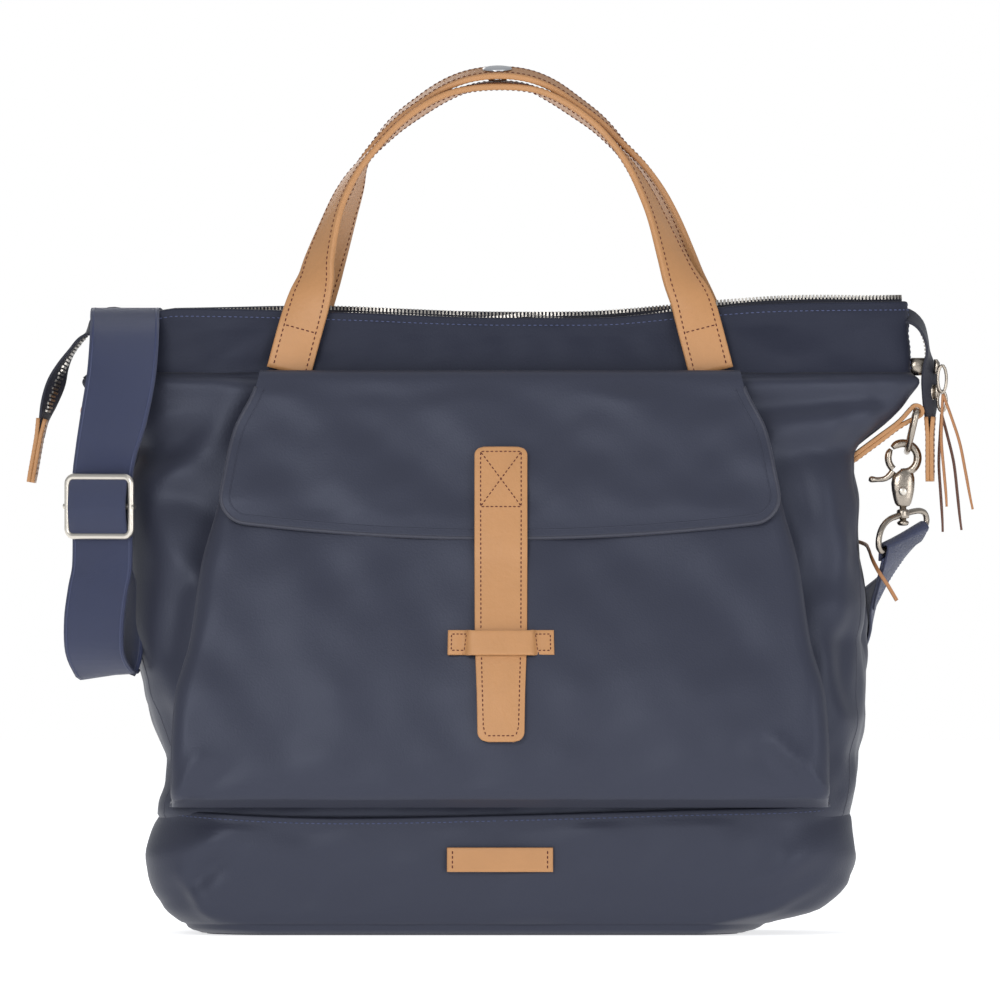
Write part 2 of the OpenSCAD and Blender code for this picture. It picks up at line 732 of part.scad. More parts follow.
// ---- shoulder strap ----
// Centreline, from the right bail behind the bag, over its top left, down to a loop and up to the left bail;
// after each point, the direction of the webbing's width there
strap_route = [
    [[221.5, 1, 212], [0.59, 0.71, 0.37]], [[217, 10, 203], [0.47, 0.74, 0.46]],
    [[211, 24, 191], [0.32, 0.72, 0.58]], [[205.5, 42, 178], [0.08, 0.6, 0.75]],
    [[195, 62, 165], [-0.15, 0.45, 0.85]], [[176, 76, 150], [-0.42, 0.22, 0.82]],
    [[152, 84, 136], [-0.45, 0, 0.9]], [[124, 88, 126], [-0.25, -0.1, 0.96]],
    [[94, 89, 121], [-0.1, -0.15, 0.98]], [[62, 88.5, 121], [0.05, -0.15, 0.98]],
    [[30, 86, 127], [0.2, -0.18, 0.96]], [[0, 83, 138], [0.35, -0.2, 0.91]],
    [[-28, 79, 154], [0.48, -0.2, 0.85]], [[-54, 74, 174], [0.58, -0.2, 0.78]],
    [[-78, 69, 197], [0.66, -0.2, 0.7]], [[-100, 63.5, 221], [0.72, -0.2, 0.65]],
    [[-122, 58, 246], [0.76, -0.18, 0.6]], [[-144, 53, 271], [0.8, -0.15, 0.56]],
    [[-166, 48, 295], [0.86, -0.1, 0.48]], [[-186, 42, 316], [0.93, 0, 0.34]],
    [[-199, 33.5, 332], [0.98, 0.05, 0.18]], [[-204, 20, 340.6], [1, 0, 0]],
    [[-205.5, 0, 342.6], [1, 0, 0]], [[-206, -20, 340.6], [1, 0, 0]],
    [[-206, -33, 332.5], [1, 0, 0]], [[-206.5, -39.5, 320], [1, -0.02, 0]],
    [[-208, -44, 304], [0.99, -0.1, 0]], [[-212, -48, 282], [0.95, -0.25, 0]],
    [[-216, -50, 264], [0.88, -0.45, 0]], [[-218, -50, 248], [0.86, -0.5, 0]],
    [[-218, -50, 203], [0.86, -0.5, 0]], [[-220.5, -51, 188], [0.86, -0.5, 0]],
    [[-222.5, -51, 171], [0.86, -0.5, 0]], [[-222, -48, 154], [0.84, -0.54, 0.05]],
    [[-217, -40, 143.5], [0.8, -0.6, 0.1]], [[-212.5, -31, 143], [0.7, -0.7, 0.1]],
    [[-209, -25, 152], [0.45, -0.89, 0]], [[-208.5, -21, 170], [0.25, -0.96, 0]],
    [[-211.5, -15, 190], [0.3, -0.95, 0.2]], [[-216, -8, 201], [0.26, -0.93, 0.3]],
    [[-220, -2, 210], [0.24, -0.91, 0.35]]];
module shoulder_strap() {
    color(webbing) strap([for (p = strap_route) p[0]], [for (p = strap_route) p[1]], webbing_w, webbing_t);
}

// Slider: a rounded wire frame, its centre bar and the webbing woven over the bar
slider_at = [-219.6, -53.6, 234.5];
slider_turn = -30;
slider_w = 44;
slider_h = 36;
slider_r = 1.8;
module slider_frame_wire() {
    x = slider_w / 2 - 1.8;
    z = slider_h / 2 - 1.8;
    c = 4;
    for (s = [-1, 1]) {
        translate([s * x, 0, -z + c]) cylinder(r = slider_r, h = 2 * (z - c));
        translate([-x + c, 0, s * z]) rotate([0, 90, 0]) cylinder(r = slider_r, h = 2 * (x - c));
    }
    for (k = [0:3]) {
        sx = k == 0 || k == 3 ? 1 : -1;
        sz = k < 2 ? 1 : -1;
        translate([sx * (x - c), 0, sz * (z - c)]) rotate([90, 0, 0]) rotate([0, 0, 90 * k])
            rotate_extrude(angle = 90) translate([c, 0]) circle(r = slider_r);
    }
}
module on_slider() {
    translate(slider_at) rotate([0, 0, slider_turn]) children();
}

module strap_slider_frame() {
    color(nickel) on_slider() difference() {
        slider_frame_wire();
        rotate([0, 90, 0]) cylinder(r = 1.5, h = slider_w + 2, center = true);
    }
}

module strap_slider_bar() {
    color(nickel) on_slider() rotate([0, 90, 0]) cylinder(r = 1.5, h = slider_w + 1, center = true);
}

module strap_slider_weave() {
    w = 36;
    reach = 13.4;
    side = [for (i = [0:8]) let(z = reach * (1 - i / 4)) [0, -2.6 * cos(90 * z / reach), z]];
    color(webbing) on_slider() strap(side, [for (p = side) [1, 0, 0]], w, 1.4);
}

// ---- rear pocket zip ----
rear_zip_z = 222;
rear_zip_from = -90;
rear_zip_to = 176;
rear_slope = 12.4;
module on_back(z, off) {
    translate([0, half_d(z) + off, z]) rotate([rear_slope - 1, 0, 0]) children();
}

module rear_pocket_zip_tape() {
    color(tape) on_back(rear_zip_z, 0.9) translate([rear_zip_from - 8, 0, -12])
        cube([rear_zip_to - rear_zip_from - 6, 1, 24]);
}

module rear_pocket_zip_teeth() {
    color(silver) on_back(rear_zip_z, 1.95) translate([rear_zip_from - 4, 0, -2.2])
        cube([rear_zip_to - rear_zip_from - 14, 1.4, 4.4]);
}

module rear_pocket_zip_slider() {
    color(gunmetal) on_back(rear_zip_z, 3.7) translate([rear_zip_to - 22, 0, -4]) {
        cube([11, 2, 8]);
        translate([2, 1.5, 3]) cube([7, 2.4, 2]);
    }
}

// The thong hangs from the slider and lies round the bag's rear right corner
thong_route = [
    [162, 60, 217], [172, 57.5, 216.5], [184, 52, 216], [194, 41, 215], [201, 27, 213], [203, 8, 210],
    [204.5, -6, 205.5], [208, -13, 198.5], [213, -15, 191], [218, -14, 182.5]];
module rear_pocket_zip_thong() {
    color(tan) strap(thong_route, [for (p = thong_route) [0.1, 0.2, 1]], 2.8, 1.3);
}

front_panel();
back_panel();
left_gusset();
right_gusset();
base_band();
base_panel();
base_board();
lining();
front_yoke();
rear_yoke();
rear_pocket_pouch();
front_zip_tape();
rear_zip_tape();
front_zip_teeth();
rear_zip_teeth();
left_zip_tail();
right_zip_tail();
left_tail_tab();
right_tail_tab();
upper_zip_slider();
upper_zip_link();
upper_zip_thong();
lower_zip_slider();
lower_zip_link();
lower_zip_thong();
pocket_front();
pocket_gusset();
pocket_flap();
closure_strap();
strap_keeper();
label_patch();
front_handle_feet();
rear_handle_feet();
front_handle();
rear_handle();
handle_snap_cap();
handle_snap_stud();
left_ring_tab();
right_ring_tab();
left_d_ring();
right_d_ring();
left_hook_body();
right_hook_body();
left_hook_rivet();
right_hook_rivet();
left_hook_trigger();
right_hook_trigger();
left_hook_bail();
right_hook_bail();
shoulder_strap();
strap_slider_frame();
strap_slider_bar();
strap_slider_weave();
rear_pocket_zip_tape();
rear_pocket_zip_teeth();
rear_pocket_zip_slider();
rear_pocket_zip_thong();
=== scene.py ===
"""Looks of the diaper tote bag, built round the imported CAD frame."""
import math

import bpy
import numpy as np
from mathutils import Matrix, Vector


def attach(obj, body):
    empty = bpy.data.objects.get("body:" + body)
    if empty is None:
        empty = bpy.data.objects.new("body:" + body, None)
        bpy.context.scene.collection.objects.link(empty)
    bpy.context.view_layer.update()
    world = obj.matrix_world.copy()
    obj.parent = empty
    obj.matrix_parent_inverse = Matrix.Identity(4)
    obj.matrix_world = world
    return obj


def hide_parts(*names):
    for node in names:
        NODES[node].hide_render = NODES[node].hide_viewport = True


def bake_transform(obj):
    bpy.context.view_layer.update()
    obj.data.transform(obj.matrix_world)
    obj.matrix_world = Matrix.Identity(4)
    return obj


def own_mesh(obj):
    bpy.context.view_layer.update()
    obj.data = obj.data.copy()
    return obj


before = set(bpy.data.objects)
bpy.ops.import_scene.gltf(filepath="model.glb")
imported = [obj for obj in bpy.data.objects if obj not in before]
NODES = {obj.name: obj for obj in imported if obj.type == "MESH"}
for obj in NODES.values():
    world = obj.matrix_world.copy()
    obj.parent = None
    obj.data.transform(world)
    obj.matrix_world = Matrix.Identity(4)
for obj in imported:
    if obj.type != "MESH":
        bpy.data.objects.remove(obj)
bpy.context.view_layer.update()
MM = 0.001


# ---------------------------------------------------------------- numbers
def numbers(text):
    """Rows of numbers written with spaces inside a row and commas between rows."""
    return np.array([row.split() for row in text.split(",")], float)


def table(text):
    """Smooth curve through rows of x and y which doesn't overshoot them."""
    x, y = numbers(text).T
    h = np.diff(x)
    d = np.diff(y) / h
    m = np.zeros_like(y)
    m[0], m[-1] = d[0], d[-1]
    for i in range(1, len(x) - 1):
        if d[i - 1] * d[i] > 0:
            a, b = 2 * h[i] + h[i - 1], h[i] + 2 * h[i - 1]
            m[i] = (a + b) / (a / d[i - 1] + b / d[i])

    def f(t):
        t = np.clip(np.asarray(t, float), x[0], x[-1])
        i = np.clip(np.searchsorted(x, t) - 1, 0, len(h) - 1)
        u = (t - x[i]) / h[i]
        return (y[i] * (1 + 2 * u) * (1 - u) ** 2 + m[i] * h[i] * u * (1 - u) ** 2
                + y[i + 1] * u * u * (3 - 2 * u) + m[i + 1] * h[i] * u * u * (u - 1))

    return f


def step(t, a, b):
    """Smooth rise from 0 at a to 1 at b."""
    u = np.clip((np.asarray(t, float) - a) / (b - a), 0, 1)
    return u * u * (3 - 2 * u)


def wob(a, b, seed, size):
    """Smooth random surface of unit height whose bumps are about size apart."""
    r = np.random.default_rng(seed)
    out = np.zeros(np.broadcast(a, b).shape)
    for _ in range(9):
        t, k, p = r.uniform(0, math.tau), r.uniform(0.6, 1.5) * math.tau / size, r.uniform(0, math.tau)
        out = out + np.sin(k * (a * math.cos(t) + b * math.sin(t)) + p)
    return out / 3.2


def folds(x, z, text):
    """Rounded ridges (valleys where the height is below 0) in a panel's plane, fading at their ends.

    Rows of x and z at one end of the ridge, x and z at the other, width and height."""
    total = 0 * x
    for x0, z0, x1, z1, width, height in numbers(text):
        dx, dz = x1 - x0, z1 - z0
        n = math.hypot(dx, dz)
        s = ((x - x0) * dx + (z - z0) * dz) / n
        t = ((x - x0) * dz - (z - z0) * dx) / n
        end = np.where(s < 0, s, np.where(s > n, s - n, 0))
        total = total + height * np.exp(-(t / width) ** 2 - (end / (1.4 * width)) ** 2)
    return total


def unit(v):
    v = np.asarray(v, float)
    return v / np.maximum(np.linalg.norm(v, axis=-1, keepdims=True), 1e-12)


def lengths(p):
    """Length along a row of points from its start."""
    return np.concatenate([[0], np.cumsum(np.linalg.norm(np.diff(p, axis=0), axis=1))])


def spline(pts, gap):
    """Points every gap millimetres or so on a smooth curve through pts (any width of row)."""
    p = np.asarray(pts, float)
    q = p[:, :3]
    t = np.concatenate([[0], np.cumsum(np.linalg.norm(np.diff(q, axis=0), axis=1) ** 0.75)])
    out = []
    for i in range(len(p) - 1):
        a, b = p[i], p[i + 1]
        h = t[i + 1] - t[i]
        ma = (p[i + 1] - p[i - 1]) / (t[i + 1] - t[i - 1]) if i else (b - a) / h
        mb = (p[i + 2] - p[i]) / (t[i + 2] - t[i]) if i + 2 < len(p) else (b - a) / h
        n = max(2, int(np.linalg.norm(q[i + 1] - q[i]) / gap))
        for k in range(n):
            u = k / n
            out.append(a * (1 + 2 * u) * (1 - u) ** 2 + ma * h * u * (1 - u) ** 2
                       + b * u * u * (3 - 2 * u) + mb * h * u * u * (u - 1))
    out.append(p[-1])
    return np.array(out)


# ---------------------------------------------------------------- materials
def lin(r, g, b):
    """Linear colour with alpha of an sRGB one in 0..255."""
    parts = (r / 255, g / 255, b / 255)
    return tuple(c / 12.92 if c <= 0.04045 else ((c + 0.055) / 1.055) ** 2.4 for c in parts) + (1,)


def put(node, **sockets):
    """Sets a node's sockets, named with underscores for spaces."""
    for key, value in sockets.items():
        node.inputs[key.replace("_", " ")].default_value = value
    return node


def material(name, rgb, rough, metal=0.0, bumps=(), vary=0.0, vary_scale=40, spec=0.5, sheen=0.0, ribs=None,
             rough_vary=0.0, tint=None):
    """bumps: (noise scale per metre, height in metres, detail). ribs: (pitch mm, height m) along the UV's u."""
    m = bpy.data.materials.new(name)
    m.use_nodes = True
    nt = m.node_tree
    link = nt.links.new
    colour = np.array(lin(*rgb)[:3])
    bsdf = put(nt.nodes["Principled BSDF"], Base_Color=lin(*rgb), Roughness=rough, Metallic=metal,
               Specular_IOR_Level=spec)
    if tint:
        put(bsdf, Specular_Tint=tint + (1,))
    if sheen:
        put(bsdf, Sheen_Weight=sheen, Sheen_Roughness=0.45)
    co = nt.nodes.new("ShaderNodeTexCoord")

    def noise(scale, detail):
        node = put(nt.nodes.new("ShaderNodeTexNoise"), Scale=scale, Detail=detail)
        link(co.outputs["Object"], node.inputs["Vector"])
        return node.outputs["Fac"]

    last = None

    def bump(source, **sockets):
        b = put(nt.nodes.new("ShaderNodeBump"), **sockets)
        link(source, b.inputs["Height"])
        if last:
            link(last.outputs["Normal"], b.inputs["Normal"])
        return b

    if vary:
        blend = put(nt.nodes.new("ShaderNodeMixRGB"), Color1=tuple(colour * (1 - vary)) + (1,),
                    Color2=tuple(np.minimum(1, colour * (1 + vary))) + (1,))
        link(noise(vary_scale, 4), blend.inputs["Fac"])
        link(blend.outputs["Color"], bsdf.inputs["Base Color"])
    if rough_vary:
        spread = put(nt.nodes.new("ShaderNodeMapRange"), To_Min=rough - rough_vary, To_Max=rough + rough_vary)
        link(noise(25, 6), spread.inputs["Value"])
        link(spread.outputs["Result"], bsdf.inputs["Roughness"])
    for scale, height, detail in bumps:
        last = bump(noise(scale, detail), Distance=height, Strength=1)
    if ribs:
        wave = put(nt.nodes.new("ShaderNodeTexWave"), Scale=1 / ribs[0], Distortion=0.4)
        wave.bands_direction = "X"
        link(co.outputs["UV"], wave.inputs["Vector"])
        last = bump(wave.outputs["Fac"], Distance=ribs[1])
    if last:
        link(last.outputs["Normal"], bsdf.inputs["Normal"])
    return m


NYLON = material("coated_nylon", (46, 48, 60), 0.47, bumps=((22, 0.0007, 1), (900, 0.00012, 2)), vary=0.03,
                 vary_scale=18, spec=0.36, sheen=0.03, rough_vary=0.02, tint=(0.76, 0.82, 1.0))
# the yokes' cloth: the body's nylon made darker, as painted shade on the yokes
NYLON_SHADED = material("coated_nylon_painted_shade", (38, 40, 52), 0.52, bumps=((22, 0.0007, 1), (900, 0.00012, 2)), vary=0.03,
                     vary_scale=18, spec=0.2, rough_vary=0.02, tint=(0.76, 0.82, 1.0))
NYLON_EDGE = material("nylon_binding", (44, 46, 60), 0.5, bumps=((700, 0.0002, 2),), sheen=0.1)
LEATHER = material("tan_leather", (176, 128, 84), 0.48, bumps=((420, 0.00022, 6), (60, 0.0005, 2)), vary=0.07,
                   vary_scale=70, spec=0.4, rough_vary=0.06)
THONG = material("thong_leather", (168, 116, 74), 0.55, bumps=((500, 0.0002, 3),), vary=0.08)
# the lower thong's leather made darker as painted shade: it hangs in shadow behind the upper one
THONG_SHADED = material("thong_painted_shade", (92, 58, 44), 0.6, bumps=((500, 0.0002, 3),), vary=0.08)
THREAD_BROWN = material("thread_brown", (84, 32, 22), 0.8)
THREAD_NAVY = material("thread_navy", (72, 80, 114), 0.7)
WEBBING = material("webbing", (42, 50, 82), 0.5, bumps=((1500, 0.0001, 2),), ribs=(0.9, 0.00014), sheen=0.15,
                   vary=0.05, vary_scale=200)
TAPE = material("zip_tape", (28, 30, 44), 0.7, bumps=((1200, 0.0002, 2),), sheen=0.1)
TEETH = material("zip_metal", (160, 156, 150), 0.34, metal=1.0, bumps=((900, 0.0001, 2),))
GUNMETAL = material("gunmetal", (158, 149, 138), 0.27, metal=1.0, bumps=((500, 0.00015, 4),), vary=0.12,
                    vary_scale=220)
NICKEL = material("satin_nickel", (206, 200, 190), 0.36, metal=1.0, bumps=((700, 0.00008, 3),))
CHROME = material("snap_chrome", (205, 206, 208), 0.12, metal=1.0)
LINING = material("lining", (150, 146, 138), 0.8, bumps=((900, 0.0002, 2),))
BOARD = material("stiffener", (120, 116, 110), 0.9)


# ---------------------------------------------------------------- meshes
def make(name, verts, faces, mat, body, replaces=(), smooth=True, uv=None, blend=None):
    """A piece from vertices in millimetres, riding on one body; with blend, its place is baked in and it rides on no
    body.
    """
    me = bpy.data.meshes.new(name)
    me.from_pydata((np.asarray(verts, float) * MM).tolist(), [], [tuple(int(i) for i in f) for f in faces])
    me.materials.append(mat)
    if uv is not None:
        layer = me.uv_layers.new(name="UVMap")
        idx = np.zeros(len(me.loops), np.int32)
        me.loops.foreach_get("vertex_index", idx)
        layer.data.foreach_set("uv", np.asarray(uv, np.float32)[idx].ravel())
    me.polygons.foreach_set("use_smooth", [smooth] * len(me.polygons))
    me.update()
    ob = bpy.data.objects.new(name, me)
    bpy.context.scene.collection.objects.link(ob)
    if replaces:
        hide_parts(*replaces)
    if blend:
        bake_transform(ob)
    elif body:
        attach(ob, body)
    return ob


def between(corners, n):
    """n pairs of numbers spread evenly over the steps from corner to corner."""
    corners = np.asarray(corners, float)
    t = np.linspace(0, len(corners) - 1, n)
    return [np.interp(t, range(len(corners)), column) for column in corners.T]


class Patch:
    """A grid of points (rows, columns, xyz) in millimetres with its outward normals."""

    def __init__(self, P, wrap=False, flip=False):
        self.P = np.asarray(P, float)
        self.wrap = wrap
        dc = np.roll(self.P, -1, 1) - np.roll(self.P, 1, 1) if wrap else np.gradient(self.P, axis=1)
        n = unit(np.cross(dc, np.gradient(self.P, axis=0)))
        self.N = -n if flip else n
        self.flip = flip

    def push(self, d):
        return Patch(self.P + self.N * np.asarray(d)[..., None], self.wrap, self.flip)

    def at(self, r, c, lift=0.0):
        """Points and normals at rows r and columns c, which may fall between two."""
        R, C = self.P.shape[:2]
        r, c = np.atleast_1d(np.asarray(r, float)), np.atleast_1d(np.asarray(c, float))
        r = np.clip(r, 0, R - 1.0001)
        c = np.mod(c, C) if self.wrap else np.clip(c, 0, C - 1.0001)
        i, j = r.astype(int), c.astype(int)
        u, v = (r - i)[:, None], (c - j)[:, None]
        k = (j + 1) % C
        p, n = [(G[i, j] * (1 - u) + G[i + 1, j] * u) * (1 - v) + (G[i, k] * (1 - u) + G[i + 1, k] * u) * v
                for G in (self.P, self.N)]
        n = unit(n)
        return p + n * lift, n

    def run(self, corners, lift, n):
        """n points on the straight pieces between corners, each a (row, column)."""
        return self.at(*between(corners, n), lift)

    def shell(self, name, t, mat, body, **kw):
        """The sheet as a closed mesh, t thick inwards."""
        R, C = self.P.shape[:2]
        inner = self.P - self.N * (t if np.isscalar(t) else np.asarray(t)[..., None])
        verts = np.concatenate([self.P.reshape(-1, 3), inner.reshape(-1, 3)])
        cols = C if self.wrap else C - 1
        idx = np.arange(R * C).reshape(R, C)
        on = np.roll(idx, -1, 1)
        a, b, c, d = [g.ravel() for g in (idx[:-1, :cols], on[:-1, :cols], on[1:, :cols], idx[1:, :cols])]
        faces = [np.stack([a, b, c, d], 1), np.stack([a, d, c, b], 1) + R * C]
        rim = [(idx[0, :cols], on[0, :cols], 1), (idx[-1, :cols], on[-1, :cols], -1)]
        if not self.wrap:
            rim += [(idx[:-1, 0], idx[1:, 0], -1), (idx[:-1, -1], idx[1:, -1], 1)]
        for p, q, way in rim:
            faces.append(np.stack([p, p + R * C, q + R * C, q] if way > 0 else [p, q, q + R * C, p + R * C], 1))
        faces = np.concatenate(faces)
        if self.flip:
            faces = faces[:, ::-1]
        uv = np.stack(np.broadcast_arrays(lengths(self.P[:, C // 2])[:, None], lengths(self.P[R // 2])[None, :]), -1)
        uv = uv.reshape(-1, 2)
        return make(name, verts, faces, mat, body, uv=np.concatenate([uv, uv]), **kw)


class Strip:
    """A strap along a smooth centreline: pts rows are x y z, then the width's direction."""

    def __init__(self, pts, w, t, gap=2.0, dome=0.0):
        q = spline(pts, gap)
        self.C = q[:, :3]
        d = unit(np.gradient(self.C, axis=0))
        self.N = unit(np.cross(d, q[:, 3:6]))
        self.U = unit(np.cross(self.N, d))
        self.S = lengths(self.C)
        self.w = (lambda s: w + 0 * s) if np.isscalar(w) else w
        self.t = t
        self.dome = dome

    def length(self):
        return float(self.S[-1])

    def at(self, s, a, lift=0.0, side=1):
        """Points on one face at lengths s and offsets a from the middle, with their normals."""
        s, a = np.broadcast_arrays(np.asarray(s, float), np.asarray(a, float))
        g = [np.stack([np.interp(s, self.S, G[:, k]) for k in range(3)], -1) for G in (self.C, self.U, self.N)]
        half = np.maximum(self.w(s) / 2, 1)
        up = self.t / 2 + self.dome * (1 - (a / half) ** 2)
        return g[0] + g[1] * a[..., None] + g[2] * (side * (up + lift))[..., None], g[2] * side

    def mesh(self, name, mat, body, bev=0.5, **kw):
        """The strap as a closed mesh whose long edges are rounded by bev."""
        half = self.w(self.S) / 2
        t, e = self.t / 2, min(bev, self.t / 2 * 0.95)
        prof = [(f, t + self.dome * (1 - f * f), -e * f) for f in np.linspace(-1, 1, 9)]
        prof += [(1, t - e * 0.29, -e * 0.29), (1, t - e, 0.0), (1, -t + e, 0.0), (1, -t + e * 0.29, -e * 0.29)]
        prof += [(f, -t, -e * f) for f in np.linspace(1, -1, 5)]
        prof += [(-1, -t + e * 0.29, e * 0.29), (-1, -t + e, 0.0), (-1, t - e, 0.0), (-1, t - e * 0.29, e * 0.29)]
        n, k = len(self.C), len(prof)
        V = np.zeros((n, k, 3))
        uv = np.zeros((n, k, 2))
        for j, (f, h, off) in enumerate(prof):
            a = half * f + off
            V[:, j] = self.C + self.U * a[:, None] + self.N * h
            uv[:, j, 0] = self.S
            uv[:, j, 1] = a
        idx = np.arange(n * k).reshape(n, k)
        nx = np.roll(idx, -1, 1)
        faces = np.stack([idx[:-1], idx[1:], nx[1:], nx[:-1]], -1).reshape(-1, 4)
        faces = faces.tolist() + [idx[0].tolist(), idx[-1][::-1].tolist()]
        return make(name, V.reshape(-1, 3), faces, mat, body, uv=uv.reshape(-1, 2), **kw)


SINK = 0.2      # millimetres a stitch's two ends sink into what it sews
LIFT = 0.05     # millimetres a seam's line stands above leather and webbing


def stitches(name, runs, body, mat, pitch=3.0, size=2.1, r=0.34, blend=None):
    """One mesh of separate stitches along runs of (points, normals)."""
    A, B, N = [], [], []
    for p, n in runs:
        s = lengths(p)
        k = max(1, int(round(s[-1] / pitch)))
        mid = (np.arange(k) + 0.5) * s[-1] / k
        for lst, off in ((A, -size / 2), (B, size / 2)):
            q = np.clip(mid + off, 0, s[-1])
            lst.append(np.stack([np.interp(q, s, p[:, i]) for i in range(3)], -1))
        N.append(np.stack([np.interp(mid, s, n[:, i]) for i in range(3)], -1))
    N = unit(np.concatenate(N))
    A, B = np.concatenate(A) - N * SINK, np.concatenate(B) - N * SINK
    d = unit(B - A)
    side = unit(np.cross(d, N))
    V = [A - N * r * 0.5]
    for f, k, h in ((0.14, 0.8, 0.3), (0.5, 1.0, 0.5), (0.86, 0.8, 0.3)):
        c = A + (B - A) * f + N * r * h
        for i in range(6):
            a = math.tau * i / 6
            V.append(c + side * (r * k * math.cos(a)) + N * (r * k * math.sin(a)))
    V.append(B - N * r * 0.5)
    V = np.stack(V, 1)
    m = V.shape[1]
    F = []
    for i in range(6):
        j = (i + 1) % 6
        F.append((0, 1 + i, 1 + j, 1 + j))
        for k in (1, 7):
            F.append((k + i, k + 6 + i, k + 6 + j, k + j))
        F.append((13 + i, 19, 13 + j, 13 + j))
    F = np.array(F)
    all_f = (F[None] + (np.arange(len(V)) * m)[:, None, None]).reshape(-1, 4)
    faces = [tuple(f) if f[2] != f[3] else tuple(f[:3]) for f in all_f.tolist()]
    return make(name, V.reshape(-1, 3), faces, mat, body, blend=blend)


def lathe(rows, at, axis=(0, 0, 1), n=24):
    """Round part: rows of (radius, height) along an axis."""
    a = unit(axis)
    u = unit(np.cross(a, (0.3, 0.2, 0.9) if abs(a[2]) < 0.9 else (0, 1, 0)))
    v = np.cross(a, u)
    t = np.arange(n) * math.tau / n
    round_by = np.outer(np.cos(t), u) + np.outer(np.sin(t), v)
    return rings([np.asarray(at, float) + a * h + r * round_by for r, h in rows])


def rings(loops):
    """Skin over loops of points which all run the same way, closed at both ends."""
    n = len(loops[0])
    idx = np.arange(len(loops) * n).reshape(-1, n)
    nx = np.roll(idx, -1, 1)
    F = np.stack([idx[:-1], nx[:-1], nx[1:], idx[1:]], -1).reshape(-1, 4).tolist()
    return np.concatenate(loops), F + [idx[0][::-1].tolist(), idx[-1].tolist()]


def tube(pts, r, gap=0.9, sides=12, smooth=True):
    """Round wire along points; r is one radius or one for each point given."""
    p = np.asarray(pts, float)
    q = np.column_stack([p, np.broadcast_to(r, len(p))])
    q = spline(q, gap) if smooth else q
    c = q[:, :3]
    d = unit(np.gradient(c, axis=0))
    n = unit(np.cross(d[0], (0.13, 0.9, 0.41)))
    t = np.arange(sides) * math.tau / sides
    loops = []
    for k in range(len(c)):
        n = unit(n - d[k] * np.dot(n, d[k]))
        m = np.cross(d[k], n)
        loops.append(c[k] + q[k, 3] * (np.outer(np.cos(t), n) + np.outer(np.sin(t), m)))
    return rings(loops)


def block(rows, n=20, power=0.55):
    """Rounded block: rows of (x, y, z, half width in x, half depth in y), stacked in z."""
    t = np.arange(n) * math.tau / n
    cx, sx = np.cos(t), np.sin(t)
    cx, sx = np.sign(cx) * np.abs(cx) ** power, np.sign(sx) * np.abs(sx) ** power
    return rings([np.column_stack([x + hx * cx, y + hy * sx, z + 0 * t]) for x, y, z, hx, hy in rows])


def build(name, parts, mat, body, k=1, **kw):
    """One mesh of several parts, mirrored to the bag's left side for k = -1."""
    V, F, base = [], [], 0
    for v, f in parts:
        V.append(v * [k, 1, 1])
        F += [[i + base for i in (q if k > 0 else q[::-1])] for q in f]
        base += len(v)
    return make(name, np.concatenate(V), F, mat, body, **kw)


def boxes(name, C, X, Y, Z, mat, body, taper, **kw):
    """Many small blocks: centres C, half axes X, Y, Z (arrays); the +Z end is narrower by taper."""
    V, F = [], []
    for k, (c, x, y, z) in enumerate(zip(C, X, Y, Z)):
        for sz in (-1, 1):
            f = 1 if sz < 0 else taper
            for sx, sy in ((-1, -1), (1, -1), (1, 1), (-1, 1)):
                V.append(c + x * sx * f + y * sy * f + z * sz)
        b = 8 * k
        F += [(b, b + 3, b + 2, b + 1), (b + 4, b + 5, b + 6, b + 7), (b, b + 1, b + 5, b + 4),
              (b + 1, b + 2, b + 6, b + 5), (b + 2, b + 3, b + 7, b + 6), (b + 3, b, b + 4, b + 7)]
    return make(name, V, F, mat, body, smooth=False, **kw)


def dress(names, mat, bevel=0.0):
    """Gives CAD nodes a finish, softened edges and smooth shading."""
    for n in names:
        ob = NODES[n]
        ob.data.materials.clear()
        ob.data.materials.append(mat)
        if bevel:
            b = ob.modifiers.new("edge", "BEVEL")
            b.width = bevel * MM
            b.segments = 2
            b.limit_method = "ANGLE"
            b.angle_limit = math.radians(35)
            b.harden_normals = False
        ob.data.polygons.foreach_set("use_smooth", [True] * len(ob.data.polygons))
        ob.data.update()
        ob.modifiers.new("normals", "WEIGHTED_NORMAL").keep_sharp = True


# ---------------------------------------------------------------- the bag's outline
half_w = table("""0 176, 4 183, 14 190, 40 195, 66 190, 95 191, 130 198, 160 201, 205 199, 250 195.5, 262 195.5,
    266 197, 272 203, 283 216, 289 222.5, 294 226, 303 231, 308 226, 320 224.5, 343 223""")
half_d = table("""0 70, 4 74, 14 78, 40 80, 66 78, 95 75, 130 69, 160 63, 205 53, 250 44, 270 40, 290 37,
    302 34.5, 308 33, 320 31.5, 343 28""")
corner_x = table("0 40, 66 44, 160 36, 205 34, 270 60, 302 120, 343 150")
corner_y = table("0 40, 66 44, 160 36, 205 34, 270 30, 302 32, 343 26")
YOKE_TOP = 343
NF, NC, NS = 44, 30, 14     # points on a quarter's front, corner and side


def outline(z, grow=0.0):
    """Points round the bag at height z, from the middle of the front to the right and on round."""
    w, d = half_w(z) + grow, half_d(z) + grow
    rx, ry = corner_x(z) + grow, corner_y(z) + grow
    q = [(k / NF * (w - rx), d) for k in range(NF)]
    for k in range(NC):
        a = math.pi / 2 * (1 - k / NC)
        q.append((w - rx + rx * math.cos(a), d - ry + ry * math.sin(a)))
    q = np.array(q + [(w, (d - ry) * (1 - k / NS)) for k in range(NS + 1)], float)
    right = np.concatenate([q * [1, -1], q[-2::-1]])
    full = np.concatenate([right, (right * [-1, 1])[-2:0:-1]])
    return np.column_stack([full, np.full(len(full), float(z))])


NQ = NF + NC + NS + 1
COLS = len(outline(100))


